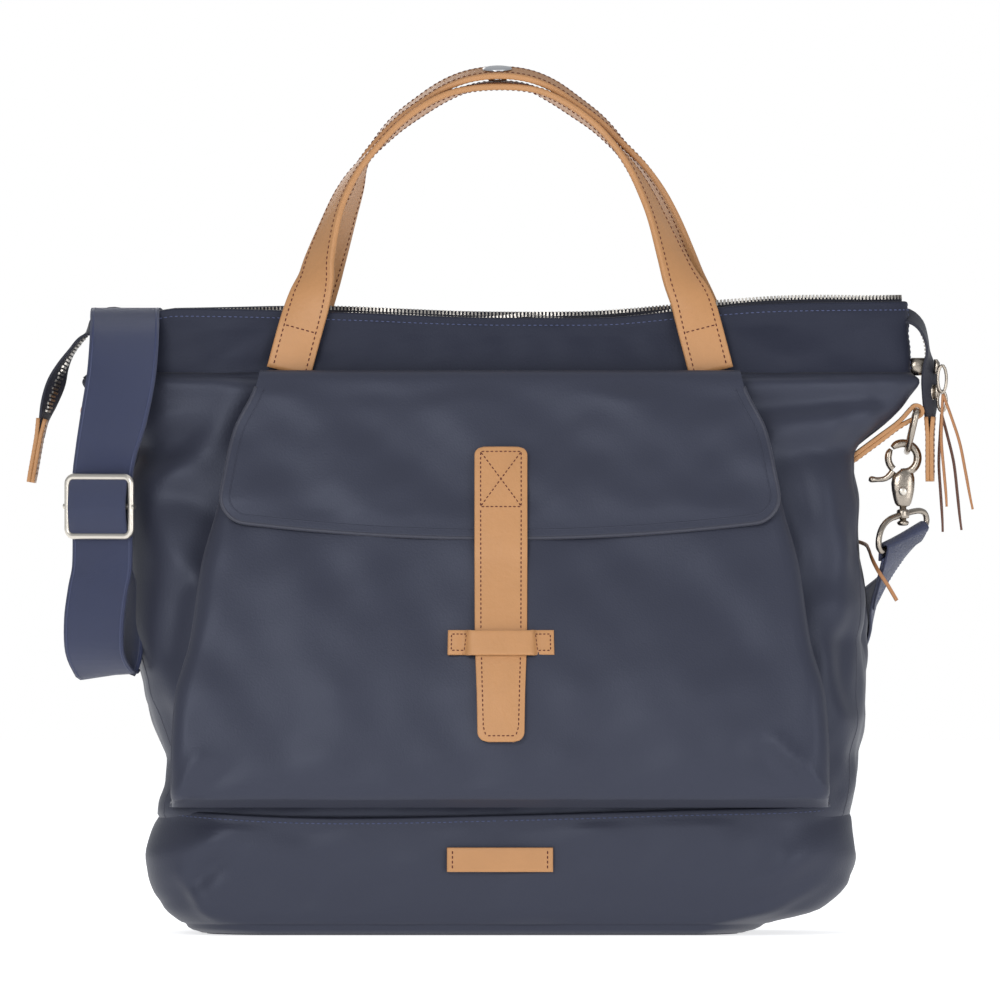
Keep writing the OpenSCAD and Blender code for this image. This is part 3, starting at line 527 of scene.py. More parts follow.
drift = table("0 0, 50 0.5, 66 2, 84 5, 105 6, 135 5, 160 3, 190 0.5, 230 0, 343 0")
side_bulge = table("""0 0, 72 0, 84 -1.8, 95 -2.2, 104 0, 117 1.8, 128 2.0, 140 0.8, 160 1.5, 190 2.0, 215 5,
    245 7, 268 6, 280 2, 290 0, 343 0""")
side_tuck = table("0 0, 108 0, 118 0.8, 127 2.8, 140 4, 160 4.4, 172 1.6, 185 0, 343 0")


def settle(P):
    """Leans the plain outline as the filled bag stands: to the right low down, fuller at the left side."""
    q = P.copy()
    q[..., 0] += drift(q[..., 2]) - side_bulge(q[..., 2]) * step(-P[..., 0], 150, 192)
    q[..., 0] -= side_tuck(q[..., 2]) * step(P[..., 0], 150, 192)
    return q


def body_folds(P):
    """How far the body's cloth stands out of its plain shape."""
    x, y, z = P[..., 0], P[..., 1], P[..., 2]
    out = 1.3 * wob(x + 0.4 * y, z, 3, 95) + 0.5 * wob(x + y, z, 4, 34)
    front = step(-y, 5, 25)
    f = folds(x, z, """-186 302 -134 299 6 2.0, -142 292 -178 284 7 2.0, -192 268 -172 270 10 -3.4,
        -146 286 -176 250 9 3.2, -170 240 -150 226 9 -2.4, -190 238 -166 186 12 3.2, -172 190 -182 156 7 -2.6,
        -164 178 -176 138 8 2.6, -186 150 -172 110 9 2.2, -188 120 -178 84 8 -2.2, 140 301 226 304 7 2.2,
        146 290 206 293 6 -2.2, 150 277 200 285 8 2.6, 160 262 192 270 8 -2.2, 166 250 176 196 8 -2.4,
        180 246 188 186 9 2.4, 176 178 184 120 9 2.6, 190 160 190 100 7 -2.0, 172 116 180 82 6 -1.6""")
    rear = step(y, 5, 25)
    g = folds(x, z, """-180 300 -110 262 9 2.6, 185 300 120 268 9 2.6, -172 120 -120 92 10 2.0,
        170 128 120 96 10 2.0, -60 205 60 198 14 -2.0, -150 240 -165 170 10 -2.2, 150 190 168 130 10 -2.2""")
    side = step(np.abs(x), 185, 197) * (1 - step(np.abs(y), 18, 34))
    s = -5 * np.exp(-(y / 9) ** 2) * step(z, 120, 200) * (1 - step(z, 244, 258))
    s = s + 1.4 * wob(y, z, 9, 60)
    shelf = 3.2 * np.exp(-((z - 299) / 7) ** 2) * (1 - step(np.abs(x), 150, 215))
    total = out + front * f + rear * g + side * s + shelf
    over_pouch = step(y, 5, 25) * step(z, 96, 118) * (1 - step(z, 232, 248)) * (1 - step(np.abs(x), 172, 186))
    total = total + over_pouch * np.maximum(0.8 - total, 0)
    return total * step(z, 64, 78) * (1 - step(z, 303, 308))


BODY_Z = np.concatenate([np.linspace(60, 300, 82), np.linspace(302, 308, 4)])
body = Patch(np.array([outline(z, -4.0 * (1 - float(step(z, 60, 66)))) for z in BODY_Z]), wrap=True)
body = Patch(settle(body.push(body_folds(body.P)).P), wrap=True)
body.shell("body_shell", 1.4, NYLON, "bag",
           replaces=("front_panel", "back_panel", "left_gusset", "right_gusset"))

# lower band, with its bulging foot and a folded top edge
BAND_TOP = 67.5


def band_folds(P):
    """How far the band's cloth stands out of its plain shape."""
    x, y, z = P[..., 0], P[..., 1], P[..., 2]
    out = 1.2 * wob(x + 0.6 * y, z * 1.4, 12, 85) + 0.4 * wob(x, z, 13, 30)
    front = step(-y, 5, 25)
    f = folds(x, z, """-178 22 -158 40 7 -3.2, -190 44 -162 50 6 2.0, -150 34 -110 24 9 -1.6,
        -166 12 -174 30 5 2.4, 176 14 190 34 7 -2.6, 160 40 186 52 7 1.8, 150 20 176 34 8 -1.8,
        60 34 130 28 12 1.2""")
    return (out + front * f) * step(z, 3, 14) * (1 - step(z, 58, 64))


BAND_Z = np.concatenate([[0.6, 1.4, 2.6, 3.8, 4.6, 5.2, 6.2, 7.5], np.linspace(9.5, 64, 26), [65.4, 66.6, BAND_TOP]])
band = Patch(np.array([outline(z) for z in BAND_Z]), wrap=True)
sag = table("-195 3.2, -176 0.4, -88 -3.4, 0 -1.8, 94 1.0, 173 3.2, 195 6.5")


def band_shape(P):
    """The band's folds with its folded top edge and the groove above its foot."""
    z = P[..., 2]
    lift = band_folds(P) + 1.5 * step(z, 40, 60)
    lift = lift - 1.1 * np.exp(-((z - 4.9) / 0.9) ** 2) + 0.7 * np.exp(-((z - 3.2) / 1.0) ** 2)
    return lift + 0.5 * np.exp(-((z - 66) / 2.0) ** 2)


band = band.push(band_shape(band.P))
q = band.P.copy()
q[..., 2] += sag(q[..., 0]) * step(q[..., 2], 30, 66) * step(-q[..., 1], -20, 30)
worn_right = table("0 44, 3 41, 6.6 36, 10 24, 13 16, 18 10, 23 5, 29 1.2, 40 0, 51 1.6, 60 3, 70 3.2")
worn_left = table("0 13.5, 6.6 10, 14 5.6, 18 4.4, 23 2.2, 29 1.6, 40 2.2, 51 3.2, 70 3.2")


def wear(P):
    """Rounds the base's lower corners at both sides."""
    q = settle(P)
    q[..., 0] -= worn_right(P[..., 2]) * step(P[..., 0], 70, 178) - worn_left(P[..., 2]) * step(-P[..., 0], 70, 178)
    return q


band = Patch(wear(q), wrap=True)
band.shell("base_band_cloth", 1.5, NYLON, "bag", replaces=("base_band",))
row = float(np.interp(64.4, BAND_Z, range(len(BAND_Z))))
stitches("band_stitching", [band.run([(row, 0), (row, COLS - 1)], 0.1, 1200)], "bag", THREAD_NAVY, r=0.3)


def plate(name, z0, z1, grow, mat, node):
    """Flat sheet inside the base's outline."""
    low, top = wear(outline(z0 + 0.01, grow)), wear(outline(z0 + 0.01, grow))
    low[:, 2], top[:, 2] = z0, z1
    m = len(low)
    make(name, np.concatenate([low, top]), [list(range(m)), list(range(m, 2 * m))[::-1]] +
         [[i, i + m, (i + 1) % m + m, (i + 1) % m] for i in range(m)], mat, "bag", smooth=False,
         replaces=(node,))


plate("base_cloth", 0.0, 1.7, -1.6, NYLON, "base_panel")
plate("base_stiffener", 1.9, 4.0, -9.5, BOARD, "base_board")

# seams down the four corners of the body
SEAM = table("66 24, 160 20, 250 12, 290 6, 308 4")


def seam_runs(lift):
    """The body's four corner seams as runs of points and normals."""
    runs = []
    for sx in (1, -1):
        for sy in (1, -1):
            r = np.linspace(1, len(BODY_Z) - 2, 200)
            z = np.interp(r, range(len(BODY_Z)), BODY_Z)
            c = NF + NC * (1 - SEAM(z) / 90)
            if sy > 0:
                c = 2 * (NQ - 1) - c
            if sx < 0:
                c = COLS - c
            runs.append(body.at(r, c, lift))
    return runs


def cord_mesh(name, runs, r, mat, body_name, sides=8, **kw):
    """Thin cords of radius r laid along runs of (points, normals)."""
    parts = []
    for p, n in runs:
        s = unit(np.cross(unit(np.gradient(p, axis=0)), n))
        m = unit(np.cross(s, unit(np.gradient(p, axis=0))))
        turns = [math.tau * k / sides for k in range(sides)]
        parts.append(rings(np.stack([p + (s * math.cos(t) + m * math.sin(t)) * r for t in turns], 1)))
    return build(name, parts, mat, body_name, **kw)


cord_mesh("side_seams", seam_runs(-0.3), 0.6, NYLON_EDGE, "bag")

# ---------------------------------------------------------------- yokes, zip and tails
top_dz = table("""-225 -7.0, -208 -6.2, -192 -2.2, -178 0.2, -150 0.2, -93 -0.8, 0 -3.6, 50 -3.4, 105 0.2,
    160 3.2, 225 4.0""")


rear_rise = table("-185 0, -150 0.6, -100 2.0, -20 1.8, 40 1.6, 70 2.2, 110 2.0, 150 0.8, 200 0.2, 225 0")
front_dip = table("-170 0, -110 -0.8, 0 -1.4, 60 -1.6, 100 -0.8, 140 0")


def yoke_z(x, z, side=0):
    """Height z on the plain yoke as it sags at x; side 0 is midway between front and rear."""
    more = rear_rise(x) if side > 0 else front_dip(x) if side < 0 else 0
    return z + (top_dz(x) + more) * step(z, 312, YOKE_TOP)


def yoke(side):
    """The strip of cloth above the body, coloured darker than the body as painted shade, on the front (-1) or the rear
    (1), and its stitching.
    """
    zs = np.concatenate([np.linspace(305, 333, 12), [336, 338, 339.5, 340.6, 341.6, 342.4, 343]])
    rows = []
    for z in zs:
        quarter = outline(z)[:NQ]
        rows.append(np.concatenate([quarter[::-1] * [-1, 1, 1], quarter[1:]]) * [1, 1 if side < 0 else -1, 1])
    P = np.array(rows)
    patch = Patch(P, flip=side > 0)
    x, z = P[..., 0], P[..., 2]
    lift = 0.9 * wob(x, z, 21 + side, 70) + 0.4 * wob(x, z * 1.5, 25 + side, 26)
    lift = lift * step(z, 308, 318) * (1 - step(z, 332, 340))
    ridges = folds(x, z, """-150 316 -122 331 6 1.6, -128 314 -100 322 6 -1.4, 128 330 150 316 6 1.4,
        150 334 205 318 8 -1.2""")
    lift = lift + ridges * (1 - step(z, 334, 340))
    patch = patch.push(lift + 0.9 * step(z, 333, 336.4) - 1.3 * (z > 342.7))
    q = patch.P.copy()
    q[..., 2] = yoke_z(q[..., 0], q[..., 2], side)
    patch = Patch(q, flip=side > 0)
    name = "rear" if side > 0 else "front"
    # the yoke's darker colour is painted shade, not a darker cloth
    patch.shell("yoke_cloth_" + name, 1.6, NYLON_SHADED, "bag", replaces=(name + "_yoke",))
    r = float(np.interp(338.4, zs, range(len(zs))))
    n = P.shape[1] - 1
    runs = [patch.run([(r, 2), (r, n - 2)], 0.1, 900)]
    for k in (0.5, 1.3):
        for c in (n - 4 - 5 * k, 4 + 5 * k):
            runs.append(patch.run([(1.5, c), (len(zs) - 2, c)], 0.1, 80))
    stitches("yoke_stitching_" + name, runs, "bag", THREAD_NAVY, r=0.3)


yoke(-1)
yoke(1)

LZ = np.concatenate([[8, 9, 11, 15], np.linspace(20, 300, 70), [303, 306, 312, 318, 324, 330, 335]])
inside = Patch(np.array([outline(z) for z in LZ]), wrap=True)
inside = inside.push(np.minimum(body_folds(inside.P), 0) - 4.8)
q = wear(inside.P)
q[..., 2] = yoke_z(q[..., 0], q[..., 2])
Patch(q, wrap=True).shell("lining_cloth", 0.8, LINING, "bag", replaces=("lining",))
ring = q[0]
top, low = ring + [0, 0, 0.4], ring - [0, 0, 0.4]
m = len(ring)
make("lining_floor", np.concatenate([top, low]),
     [list(range(m))[::-1], list(range(m, 2 * m))] + [[i, (i + 1) % m, (i + 1) % m + m, i + m] for i in range(m)],
     LINING, "bag", smooth=False)


def zip_y(x):
    """The zip tapes' distance from the bag's middle plane."""
    t = np.sqrt(1 - np.clip((np.abs(x) - 73) / 150, 0, 1) ** 2)
    return float(half_d(YOKE_TOP)) - 5.5 - 26 * (1 - t)


front_top = table("""-200 -2.6, -110 -2.2, -60 -1.0, -20 -1.4, 2 -0.2, 14 1.4, 26 -0.4, 40 -1.8, 80 -1.4,
    104 0.6, 124 2.0, 170 2.6, 200 2.0""")
rear_top = table("-200 -2.6, -112 -1.8, -90 -1.2, 0 -1.4, 50 -1.2, 100 -0.8, 125 0.4, 150 1.4, 200 1.2")


def zip_half(side):
    """One tape of the top zip with its row of teeth."""
    name = "rear" if side > 0 else "front"
    top = rear_top if side > 0 else front_top
    x = np.linspace(-180, 221, 201)
    z1 = yoke_z(x, YOKE_TOP + 0 * x, side) + top(x)
    wave = 1.4 * np.sin(x / 17.0 + side) + 0.8 * np.sin(x / 7.3)
    still = 1 - step(np.abs(x), 170, 200)
    P = np.array([np.column_stack([x, side * (zip_y(x) + wave * f * 0.8 * still), 331 + (z1 - 331) * f])
                  for f in np.linspace(0, 1, 6)])
    Patch(P, flip=side > 0).shell("zip_tape_cloth_" + name, 0.8, TAPE, "bag",
                                  replaces=(name + "_zip_tape",))
    edge = P[-1]
    s = lengths(edge)
    k = np.arange(1.5, s[-1] - 1, 2.0)
    C = np.stack([np.interp(k, s, edge[:, i]) for i in range(3)], -1)
    D = unit(np.stack([np.interp(k, s, unit(np.gradient(edge, axis=0))[:, i]) for i in range(3)], -1))
    n = unit(np.cross(D, [0, 0, 1]))
    C = C + [0, 0, 0.3]
    Z = np.cross(n, D)
    Z = Z * np.sign(Z[:, 2:3])
    boxes("zip_teeth_metal_" + name, C, D * 0.52, n * 1.15, Z * 1.2, TEETH, "bag", taper=0.8,
          replaces=(name + "_zip_teeth",))


zip_half(-1)
zip_half(1)


def chain(name, strip, s0, s1, side, width=2.3, **kw):
    """Closed zip chain along the middle of a tape."""
    s = np.arange(s0, s1, 2.15)
    C, N = strip.at(s, 0 * s, 0.4, side)
    D = unit(np.gradient(C, axis=0))
    U = unit(np.cross(N, D))
    flip = np.where(np.arange(len(s)) % 2 == 0, 1, -1)[:, None]
    boxes(name, C + U * flip * 0.5, D * 0.66, U * width, N * 0.6, TEETH, "bag", taper=0.85, **kw)


right_tail = Strip(numbers("""206 0 333 0 1 0.9, 216 0 338 0 1 0.9, 224.5 0 338.6 0.1 1 0.6,
    230.5 0 334.5 0.2 1 0.3, 234 0 327 0.1 1 0.1, 235.4 0 319 0.1 1 0, 236 0 311 0.45 0.9 0,
    236.3 0 304 0.62 0.8 0, 236.5 0 297 0.6 0.8 0, 236.5 0 289 0.5 0.87 0, 236.5 0 281 0.3 0.95 0,
    236.6 0 272 0.2 1 0"""), 14, 1.6)
right_tail.mesh("right_tail_tape", TAPE, "bag", bev=0.3, replaces=("right_zip_tail",))
chain("right_tail_chain", right_tail, 12, right_tail.length() - 16, -1)
left_tail = Strip(numbers("""-206 -1 336 0.1 0.35 1, -214 -2 337 0.1 0.35 1, -222 -2 333.5 0.3 0.55 0.9,
    -229 -1 327.5 0.5 0.85 0.4, -235.5 0 319.5 0.3 1 0.1, -240.5 0 311 0.45 0.9 0, -244.4 0 301 0.75 0.75 0,
    -248 0 291 0.6 0.8 0, -251 0 281 0.3 0.95 0, -252.6 0 272 0.2 1 0"""), 14, 1.6)
left_tail.mesh("left_tail_tape", TAPE, "bag", bev=0.3, replaces=("left_zip_tail",))
chain("left_tail_chain", left_tail, 10, left_tail.length() - 14, 1)


def tail_tab(name, at, lean, node):
    """Two leather layers sewn round the tape's end."""
    c, s = math.cos(math.radians(lean)), math.sin(math.radians(lean))
    runs = []
    for k, off in ((0, -1.5), (1, 1.5)):
        pts = []
        for z, bow in ((2.6, -0.4), (-3, 0.1), (-8, 0.4), (-24, 0.4), (-33, 0.4)):
            x = off + (bow if off < 0 else -bow)
            pts.append((at[0] + x * c + z * s, at[1], at[2] - x * s + z * c, 0.06, 1, 0))
        st = Strip(pts, lambda q: 17 - 3.5 * np.clip((q - 31) / 5, 0, 1) ** 2, 2.2, gap=1.5)
        st.mesh(name + "_layer" + str(k), LEATHER, "bag", bev=0.5, replaces=(node,) if k == 0 else ())
        for a in (-5.6, 5.6):
            runs.append(st.at(np.linspace(2.5, st.length() - 4, 60), a, LIFT, 1 if st.N[3][0] * off > 0 else -1))
    stitches(name + "_stitching", runs, "bag", THREAD_BROWN, 2.8, 2.0, 0.3)


tail_tab("left_tail_leather", (-252, 0, 279.8), 10, "left_tail_tab")
tail_tab("right_tail_leather", (236.5, 0, 280.8), 0, "right_tail_tab")

# ---------------------------------------------------------------- pocket, flap and their trim
pocket_w = table("66 176, 69 178, 82 180, 95 180, 130 178, 160 170, 205 163, 230 156, 250 151, 276 143, 305 131")
pocket_out = table("69 27, 82 32, 95 33, 130 33, 160 30, 205 25, 250 20, 276 16, 305 11.5")
POCKET_FOOT = 75.5
PZ = np.linspace(POCKET_FOOT, 305, 80)


def pocket_y(z):
    return half_d(z) + pocket_out(z)


def back_at(x, z):
    """How far forward the body's plain surface is at x and z."""
    over = np.clip((np.abs(x) - (half_w(z) - corner_x(z))) / corner_x(z), 0, 0.98)
    return half_d(z) - corner_y(z) * (1 - np.sqrt(1 - over ** 2))


def pocket_row(z, r=9.0):
    """Points along the pocket's gusset, rounded edge and front at height z."""
    w, y = float(pocket_w(z)), float(pocket_y(z))
    yb = float(back_at(w, z)) - 2
    pts = [(w, yb + (y - r - yb) * k / 7) for k in range(7)]
    for k in range(9):
        a = math.pi / 2 * k / 9
        pts.append((w - r + r * math.cos(a), y - r + r * math.sin(a)))
    p = np.array(pts + [((w - r) * (1 - k / 40), y) for k in range(41)])
    p = np.concatenate([p * [-1, -1], (p * [1, -1])[-2::-1]])
    return np.column_stack([p, np.full(len(p), z)])


P = np.array([pocket_row(z) for z in PZ])
# the foot curls back under to the body
foot = []
first = P[0]
for a in np.linspace(math.pi / 2, 0, 10)[:-1]:
    q = first.copy()
    q[:, 1] = np.minimum(first[:, 1] + 11 * math.sin(a) * 1.2 * (np.abs(first[:, 1]) > 70), -60)
    q[:, 2] = POCKET_FOOT - 5.2 * math.sin(a)
    foot.append(q)
inner = foot[0].copy()
inner[:, 1] = np.minimum(inner[:, 1] + 22, -58)
inner[:, 2] = 72.1
P = np.concatenate([[inner], foot, P])
pocket = Patch(P)


def pocket_folds(P):
    """How far the pocket's cloth stands out of its plain shape."""
    x, z = P[..., 0], P[..., 2]
    w = pocket_w(z)
    inside = 1 - step(np.abs(x), w - 14, w - 2)
    puff = 2.2 * (1 - (x / w) ** 2).clip(0, 1) * np.sin(np.clip((z - 72) / 233, 0, 1) * math.pi)
    f = folds(x, z, """152 106 180 74 4.0 2.6, 160 92 184 70 3.0 -2.4, 138 100 166 76 7 -1.6,
        -177 74 -166 96 4.0 2.0, -170 72 -150 90 5.0 -1.4, -60 78 80 77 4.5 1.0, -150 150 -120 110 14 -1.3,
        90 200 140 150 16 -1.4, -120 205 -100 150 18 1.4, 60 130 120 100 16 1.2, -60 130 30 120 18 -1.0""")
    out = (puff + 1.0 * wob(x, z, 31, 110) + 0.45 * wob(x, z, 32, 38)) * inside + f * (np.abs(x) < w - 0.5)
    return out * step(z, 71, 80)


pocket = pocket.push(pocket_folds(pocket.P))
pocket.shell("pocket_cloth", 1.3, NYLON, "bag", replaces=("pocket_front", "pocket_gusset"))
rr = np.linspace(10, P.shape[0] - 4, 120)
cord_mesh("pocket_edge_seams", [pocket.at(rr, c + 0 * rr, -0.25) for c in (8.5, P.shape[1] - 9.5)], 0.6,
          NYLON_EDGE, "bag")

flap_w = table("217 153, 238 153, 254 150.5, 276 145.5, 300 134, 312 131")
CORNER = 13.0
FLAP_HALF = 153


def hem_z(x):
    """Height of the flap's lower edge."""
    return 217 + 10 * (x / FLAP_HALF) ** 2


def flap_folds(x, z):
    out = 1.0 * wob(x, z, 41, 90) + 0.45 * wob(x, z, 42, 30)
    out = out + folds(x, z, """-110 300 -90 262 14 1.2, 70 296 112 276 12 1.4, -60 262 -20 250 14 -1.4,
        118 262 140 236 10 -1.2, -140 246 -120 232 9 1.0, 40 240 110 232 10 1.0""")
    return out * (1 - step(z, 292, 304)) * step(z - hem_z(x), 3, 14) - 0.6


def flap_y(x, z):
    """The flap's outer face below the seam: how far forward it stands at x and z."""
    return -(pocket_y(z) + 4.6 + flap_folds(x, z))


# columns are close together round the lower corners; rows run from the seam over the top and down to the hem
bend = np.linspace(math.pi / 2, 0, 13)[:-1]
inner_c = np.linspace(-1, 1, 97)


def across(half):
    """One row's x from the left edge to the right, close together in the corners."""
    end = half - CORNER + CORNER * np.sin(bend)
    return np.concatenate([-end, inner_c * (half - CORNER), end[::-1]])


rows = []
for y, z in ((-39.6, 307.4), (-41.4, 308.6), (-43.6, 309.2), (-46, 308.9), (-48, 307.2)):
    x = across(float(flap_w(z)))
    rows.append(np.column_stack([x, y + 0 * x, z + 0 * x]))
base = across(FLAP_HALF)
rise = CORNER * (1 - np.cos(bend))
end = hem_z(base) + np.concatenate([rise, 0 * inner_c, rise[::-1]])
for f in np.linspace(0, 1, 44):
    z = 304.5 + (end - 304.5) * f
    x = base * flap_w(z) / FLAP_HALF
    rows.append(np.column_stack([x, flap_y(x, z), z]))
flap = Patch(np.array(rows), flip=True)
FLAP_BLEND = ("bag", "flap", (0, -0.040, 0.3085), (0, -0.047, 0.3045))
flap.shell("flap_cloth", 2.2, NYLON, None, replaces=("pocket_flap",), blend=FLAP_BLEND)


def hem_run(inset, lift):
    """Points and normals round the flap's free edge, inset millimetres in from it."""
    P = flap.P
    edge = np.concatenate([P[8:-1, 0], P[-1], P[-2:7:-1, -1]])
    edge = spline(edge[:, [0, 2, 1]][::2], 1.0)[:, [0, 2, 1]]
    d = unit(np.gradient(edge[:, [0, 2]], axis=0))
    x, z = edge[:, 0] - d[:, 1] * inset, edge[:, 2] + d[:, 0] * inset
    y = flap_y(x, z) - lift
    n = np.tile([0, -1.0, 0], (len(x), 1))
    return np.column_stack([x, y, z]), n


cord_mesh("flap_binding", [hem_run(0.4, -0.9)], 1.2, NYLON_EDGE, "flap")
cord_mesh("flap_hem_ridge", [hem_run(4.8, -0.3)], 0.55, NYLON, "flap")

# closure strap
CZ = [267, 262, 252, 240, 228, 219, 212, 205, 192, 178, 166, 158, 148, 136, 124, 114, 106.5]


def closure_y(z):
    """How far forward the closure strap lies: over the flap, then down on the pocket."""
    on_flap = pocket_y(z) + 0.6 + 2.4 + 1.6 + 1.1
    on_pocket = pocket_y(z) + 3.9
    f = step(z, 200, 217)
    return -(on_pocket + (on_flap - on_pocket) * f + 1.1)


CLOSURE = [(0.5, float(closure_y(z)), z, 1, 0, 0) for z in CZ]
TOTAL = Strip(CLOSURE, 28, 2.2, gap=1.0).length()


def closure_w(s):
    """The closure strap's width at length s, narrower low down and rounded at its ends."""
    base = np.interp(s, [0, 60, 110, 140, TOTAL], [29, 29, 28.6, 26.5, 25.6])
    a = np.clip(4.6 - s, 0, 4.6)
    b = np.clip(5.6 - (TOTAL - s), 0, 5.6)
    return base - 2 * (4.6 - np.sqrt(4.6 ** 2 - a * a)) - 2 * (5.6 - np.sqrt(5.6 ** 2 - b * b))


closure = Strip(CLOSURE, closure_w, 2.2, gap=0.8, dome=0.25)
out_side = 1 if closure.N[10][1] < 0 else -1
closure.mesh("closure_leather", LEATHER, "flap", bev=0.6, replaces=("closure_strap",))
L = closure.length()


e = 11.1
runs = [closure.at(*between(corners, n), LIFT, out_side) for corners, n in (
    ([(2.8, -e), (34.5, -e)], 40), ([(2.8, e), (34.5, e)], 40), ([(2.8, -e), (2.8, e)], 30),
    ([(34.5, -e), (34.5, e)], 30), ([(3, -e), (34.3, e)], 50), ([(3, e), (34.3, -e)], 50),
    ([(36, -e), (110, -10.9), (L - 8, -9.6), (L - 3.4, -8.2)], 200),
    ([(36, e), (110, 10.9), (L - 8, 9.6), (L - 3.4, 8.2)], 200), ([(L - 3.2, -7.6), (L - 3.2, 7.6)], 40))]
stitches("closure_stitching", runs, "flap", THREAD_BROWN, 2.6, 1.9, 0.34)

# keeper across the strap
KZ = 160.5
ky = float(closure_y(KZ)) - 1.1 - 0.9
kb = -(float(pocket_y(KZ)) + 2.6)
keeper = Strip([(x, y, KZ, 0, 0.29, 1) for x, y in (
    (-28.5, kb - 0.6), (-24, kb - 0.9), (-19, kb - 1.1), (-16.2, ky - 0.4), (-12.5, ky - 1.1), (0.5, ky - 1.3),
    (13.5, ky - 1.1), (17.2, ky - 0.4), (20, kb - 1.1), (25, kb - 0.9), (29.5, kb - 0.6))], 14, 1.8, gap=1.0)
keeper.mesh("keeper_leather", LEATHER, "bag", bev=0.5, replaces=("strap_keeper",))
ks = 1 if keeper.N[10][1] < 0 else -1
runs = []
KL = keeper.length()
for s0, s1 in ((2.0, 10.6), (KL - 10.6, KL - 2.0)):
    for ends in (((s0, -4.6), (s1, -4.6)), ((s0, 4.6), (s1, 4.6)), ((s0, -4.6), (s0, 4.6)), ((s1, -4.6), (s1, 4.6))):
        runs.append(keeper.at(*between(ends, 12), LIFT, ks))
stitches("keeper_stitching", runs, "bag", THREAD_BROWN, 2.2, 1.7, 0.34)

# blank label on the band
LABEL_Z = 41.5
label_y = float(-half_d(LABEL_Z)) - 1.9
label = Strip([(x, label_y - 1.9 * math.cos(x / 29 * 1.2) * 0.4, LABEL_Z, 0, 0.02, 1)
               for x in np.linspace(-29, 29, 13)], 13.4, 1.6, gap=1.0, dome=0.15)
label.mesh("label_leather", LEATHER, "bag", bev=0.5, replaces=("label_patch",))
ls = 1 if label.N[5][1] < 0 else -1
runs = []
for s0 in (3.0, label.length() - 3.0):
    a = np.linspace(-5.2, 5.2, 20)
    runs.append(label.at(s0 + 0 * a, a, LIFT, ls))
stitches("label_stitching", runs, "bag", THREAD_BROWN, 2.6, 2.0, 0.36)

# ---------------------------------------------------------------- handles
handle_half = numbers("""116 308, 110 331, 105.5 347, 101 359, 97 370, 91 392, 85 408, 78 420, 69 431, 58 442,
    45 451, 30 458.5, 15 463, 0 464.5""")
lean = table("308 36.2, 331 34.4, 347 31.5, 370 26, 400 18, 430 9, 450 4, 465 0")
turn_front = table("""308 0, 331 4, 343 11, 350 26, 370 54, 388 69, 406 77, 420 84, 432 91, 442 95, 454 98,
    460 93, 464.5 85""")
turn_rear = table("""308 0, 331 4, 343 9, 350 20, 370 44, 388 60, 406 72, 420 83, 432 91, 442 95, 455 98,
    464.5 100""")
rear_raise = table("308 0, 400 0, 412 2.0, 424 3.6, 440 4.2, 450 4.7, 458 5.6, 465 6.2")
rear_shift = table("308 3.9, 396 3.9, 412 2.4, 428 0, 465 0")
LEGS = {
    (-1, -1): table("""308 0, 340 0.3, 352 0.6, 362 -0.8, 374 -2.6, 388 -2.0, 402 -1.1, 414 -0.8, 424 0.4,
        436 1.5, 446 2.2, 454 1.6, 462 0"""),
    (1, -1): table("""308 -1, 345 -1.6, 362 -1.6, 374 -1.4, 386 0, 398 1.6, 408 3.0, 417 3.6, 428 3.2, 440 2.8,
        450 3.0, 456 2.4, 463 0"""),
    (-1, 1): table("""308 0, 345 0, 358 -1.4, 372 -2.0, 384 -3.3, 396 -4.8, 408 -5.6, 420 -5.4, 432 -5.0,
        444 -5.4, 452 -5.2, 458 -3.6, 463 0"""),
    (1, 1): table("""308 0, 335 -1.0, 348 -2.8, 360 -2.8, 372 -1.8, 386 -2.0, 400 -2.8, 414 -3.9, 428 -4.4,
        438 -4.6, 447 -5.4, 454 -4.8, 459 -3, 464 0""")}
APEX = {-1: 1.2, 1: 2.0}


def handle(side):
    """One handle with its feet and stitching; the legs lean, twist and shift as the tables say."""
    name = "rear" if side > 0 else "front"
    pts = [(-x, side * float(lean(z)), z) for x, z in handle_half]
    pts += [(-p[0], p[1], p[2]) for p in pts[-2::-1]]
    P = np.array(pts)
    d = unit(np.gradient(P, axis=0))
    rows = []
    for p, q in zip(P, d):
        z = p[2]
        n = unit([-q[2], 0, q[0]])
        a = math.radians(float((turn_rear if side > 0 else turn_front)(z)))
        c = p + [0, 0, APEX[side] * float(step(z, 425, 462))]
        if abs(p[0]) > 1:
            c = c + [float(LEGS[side, 1 if p[0] > 0 else -1](z)), 0, 0]
        if side > 0:
            c = c + n * float(rear_raise(z)) + [float(rear_shift(z)), 0, 0]
        rows.append(tuple(c) + tuple(math.cos(a) * n - side * math.sin(a) * np.array([0, 1, 0])))
    strip = Strip(rows, 24.6, 3.4, gap=2.5, dome=0.35)
    blend = ("bag", name + "_handle", (0, 0, 0.322), (0, 0, 0.342))
    strip.mesh(name + "_handle_leather", LEATHER, None, bev=1.0,
               replaces=(name + "_handle", name + "_handle_feet"), blend=blend)
    L = strip.length()
    runs = []
    face = 1 if strip.N[4][1] * side > 0 else -1
    for f in (1, -1):
        for a in (-9.0, 9.0):
            runs.append(strip.at(np.linspace(2, L - 2, 700), a, LIFT, f))
    for s0 in (24.5, L - 24.5):
        a = np.linspace(-8.6, 8.6, 20)
        runs.append(strip.at(s0 + 0 * a, a, LIFT, face))
    stitches(name + "_handle_stitching", runs, None, THREAD_BROWN, 3.0, 2.1, 0.36, blend=blend)
    return strip


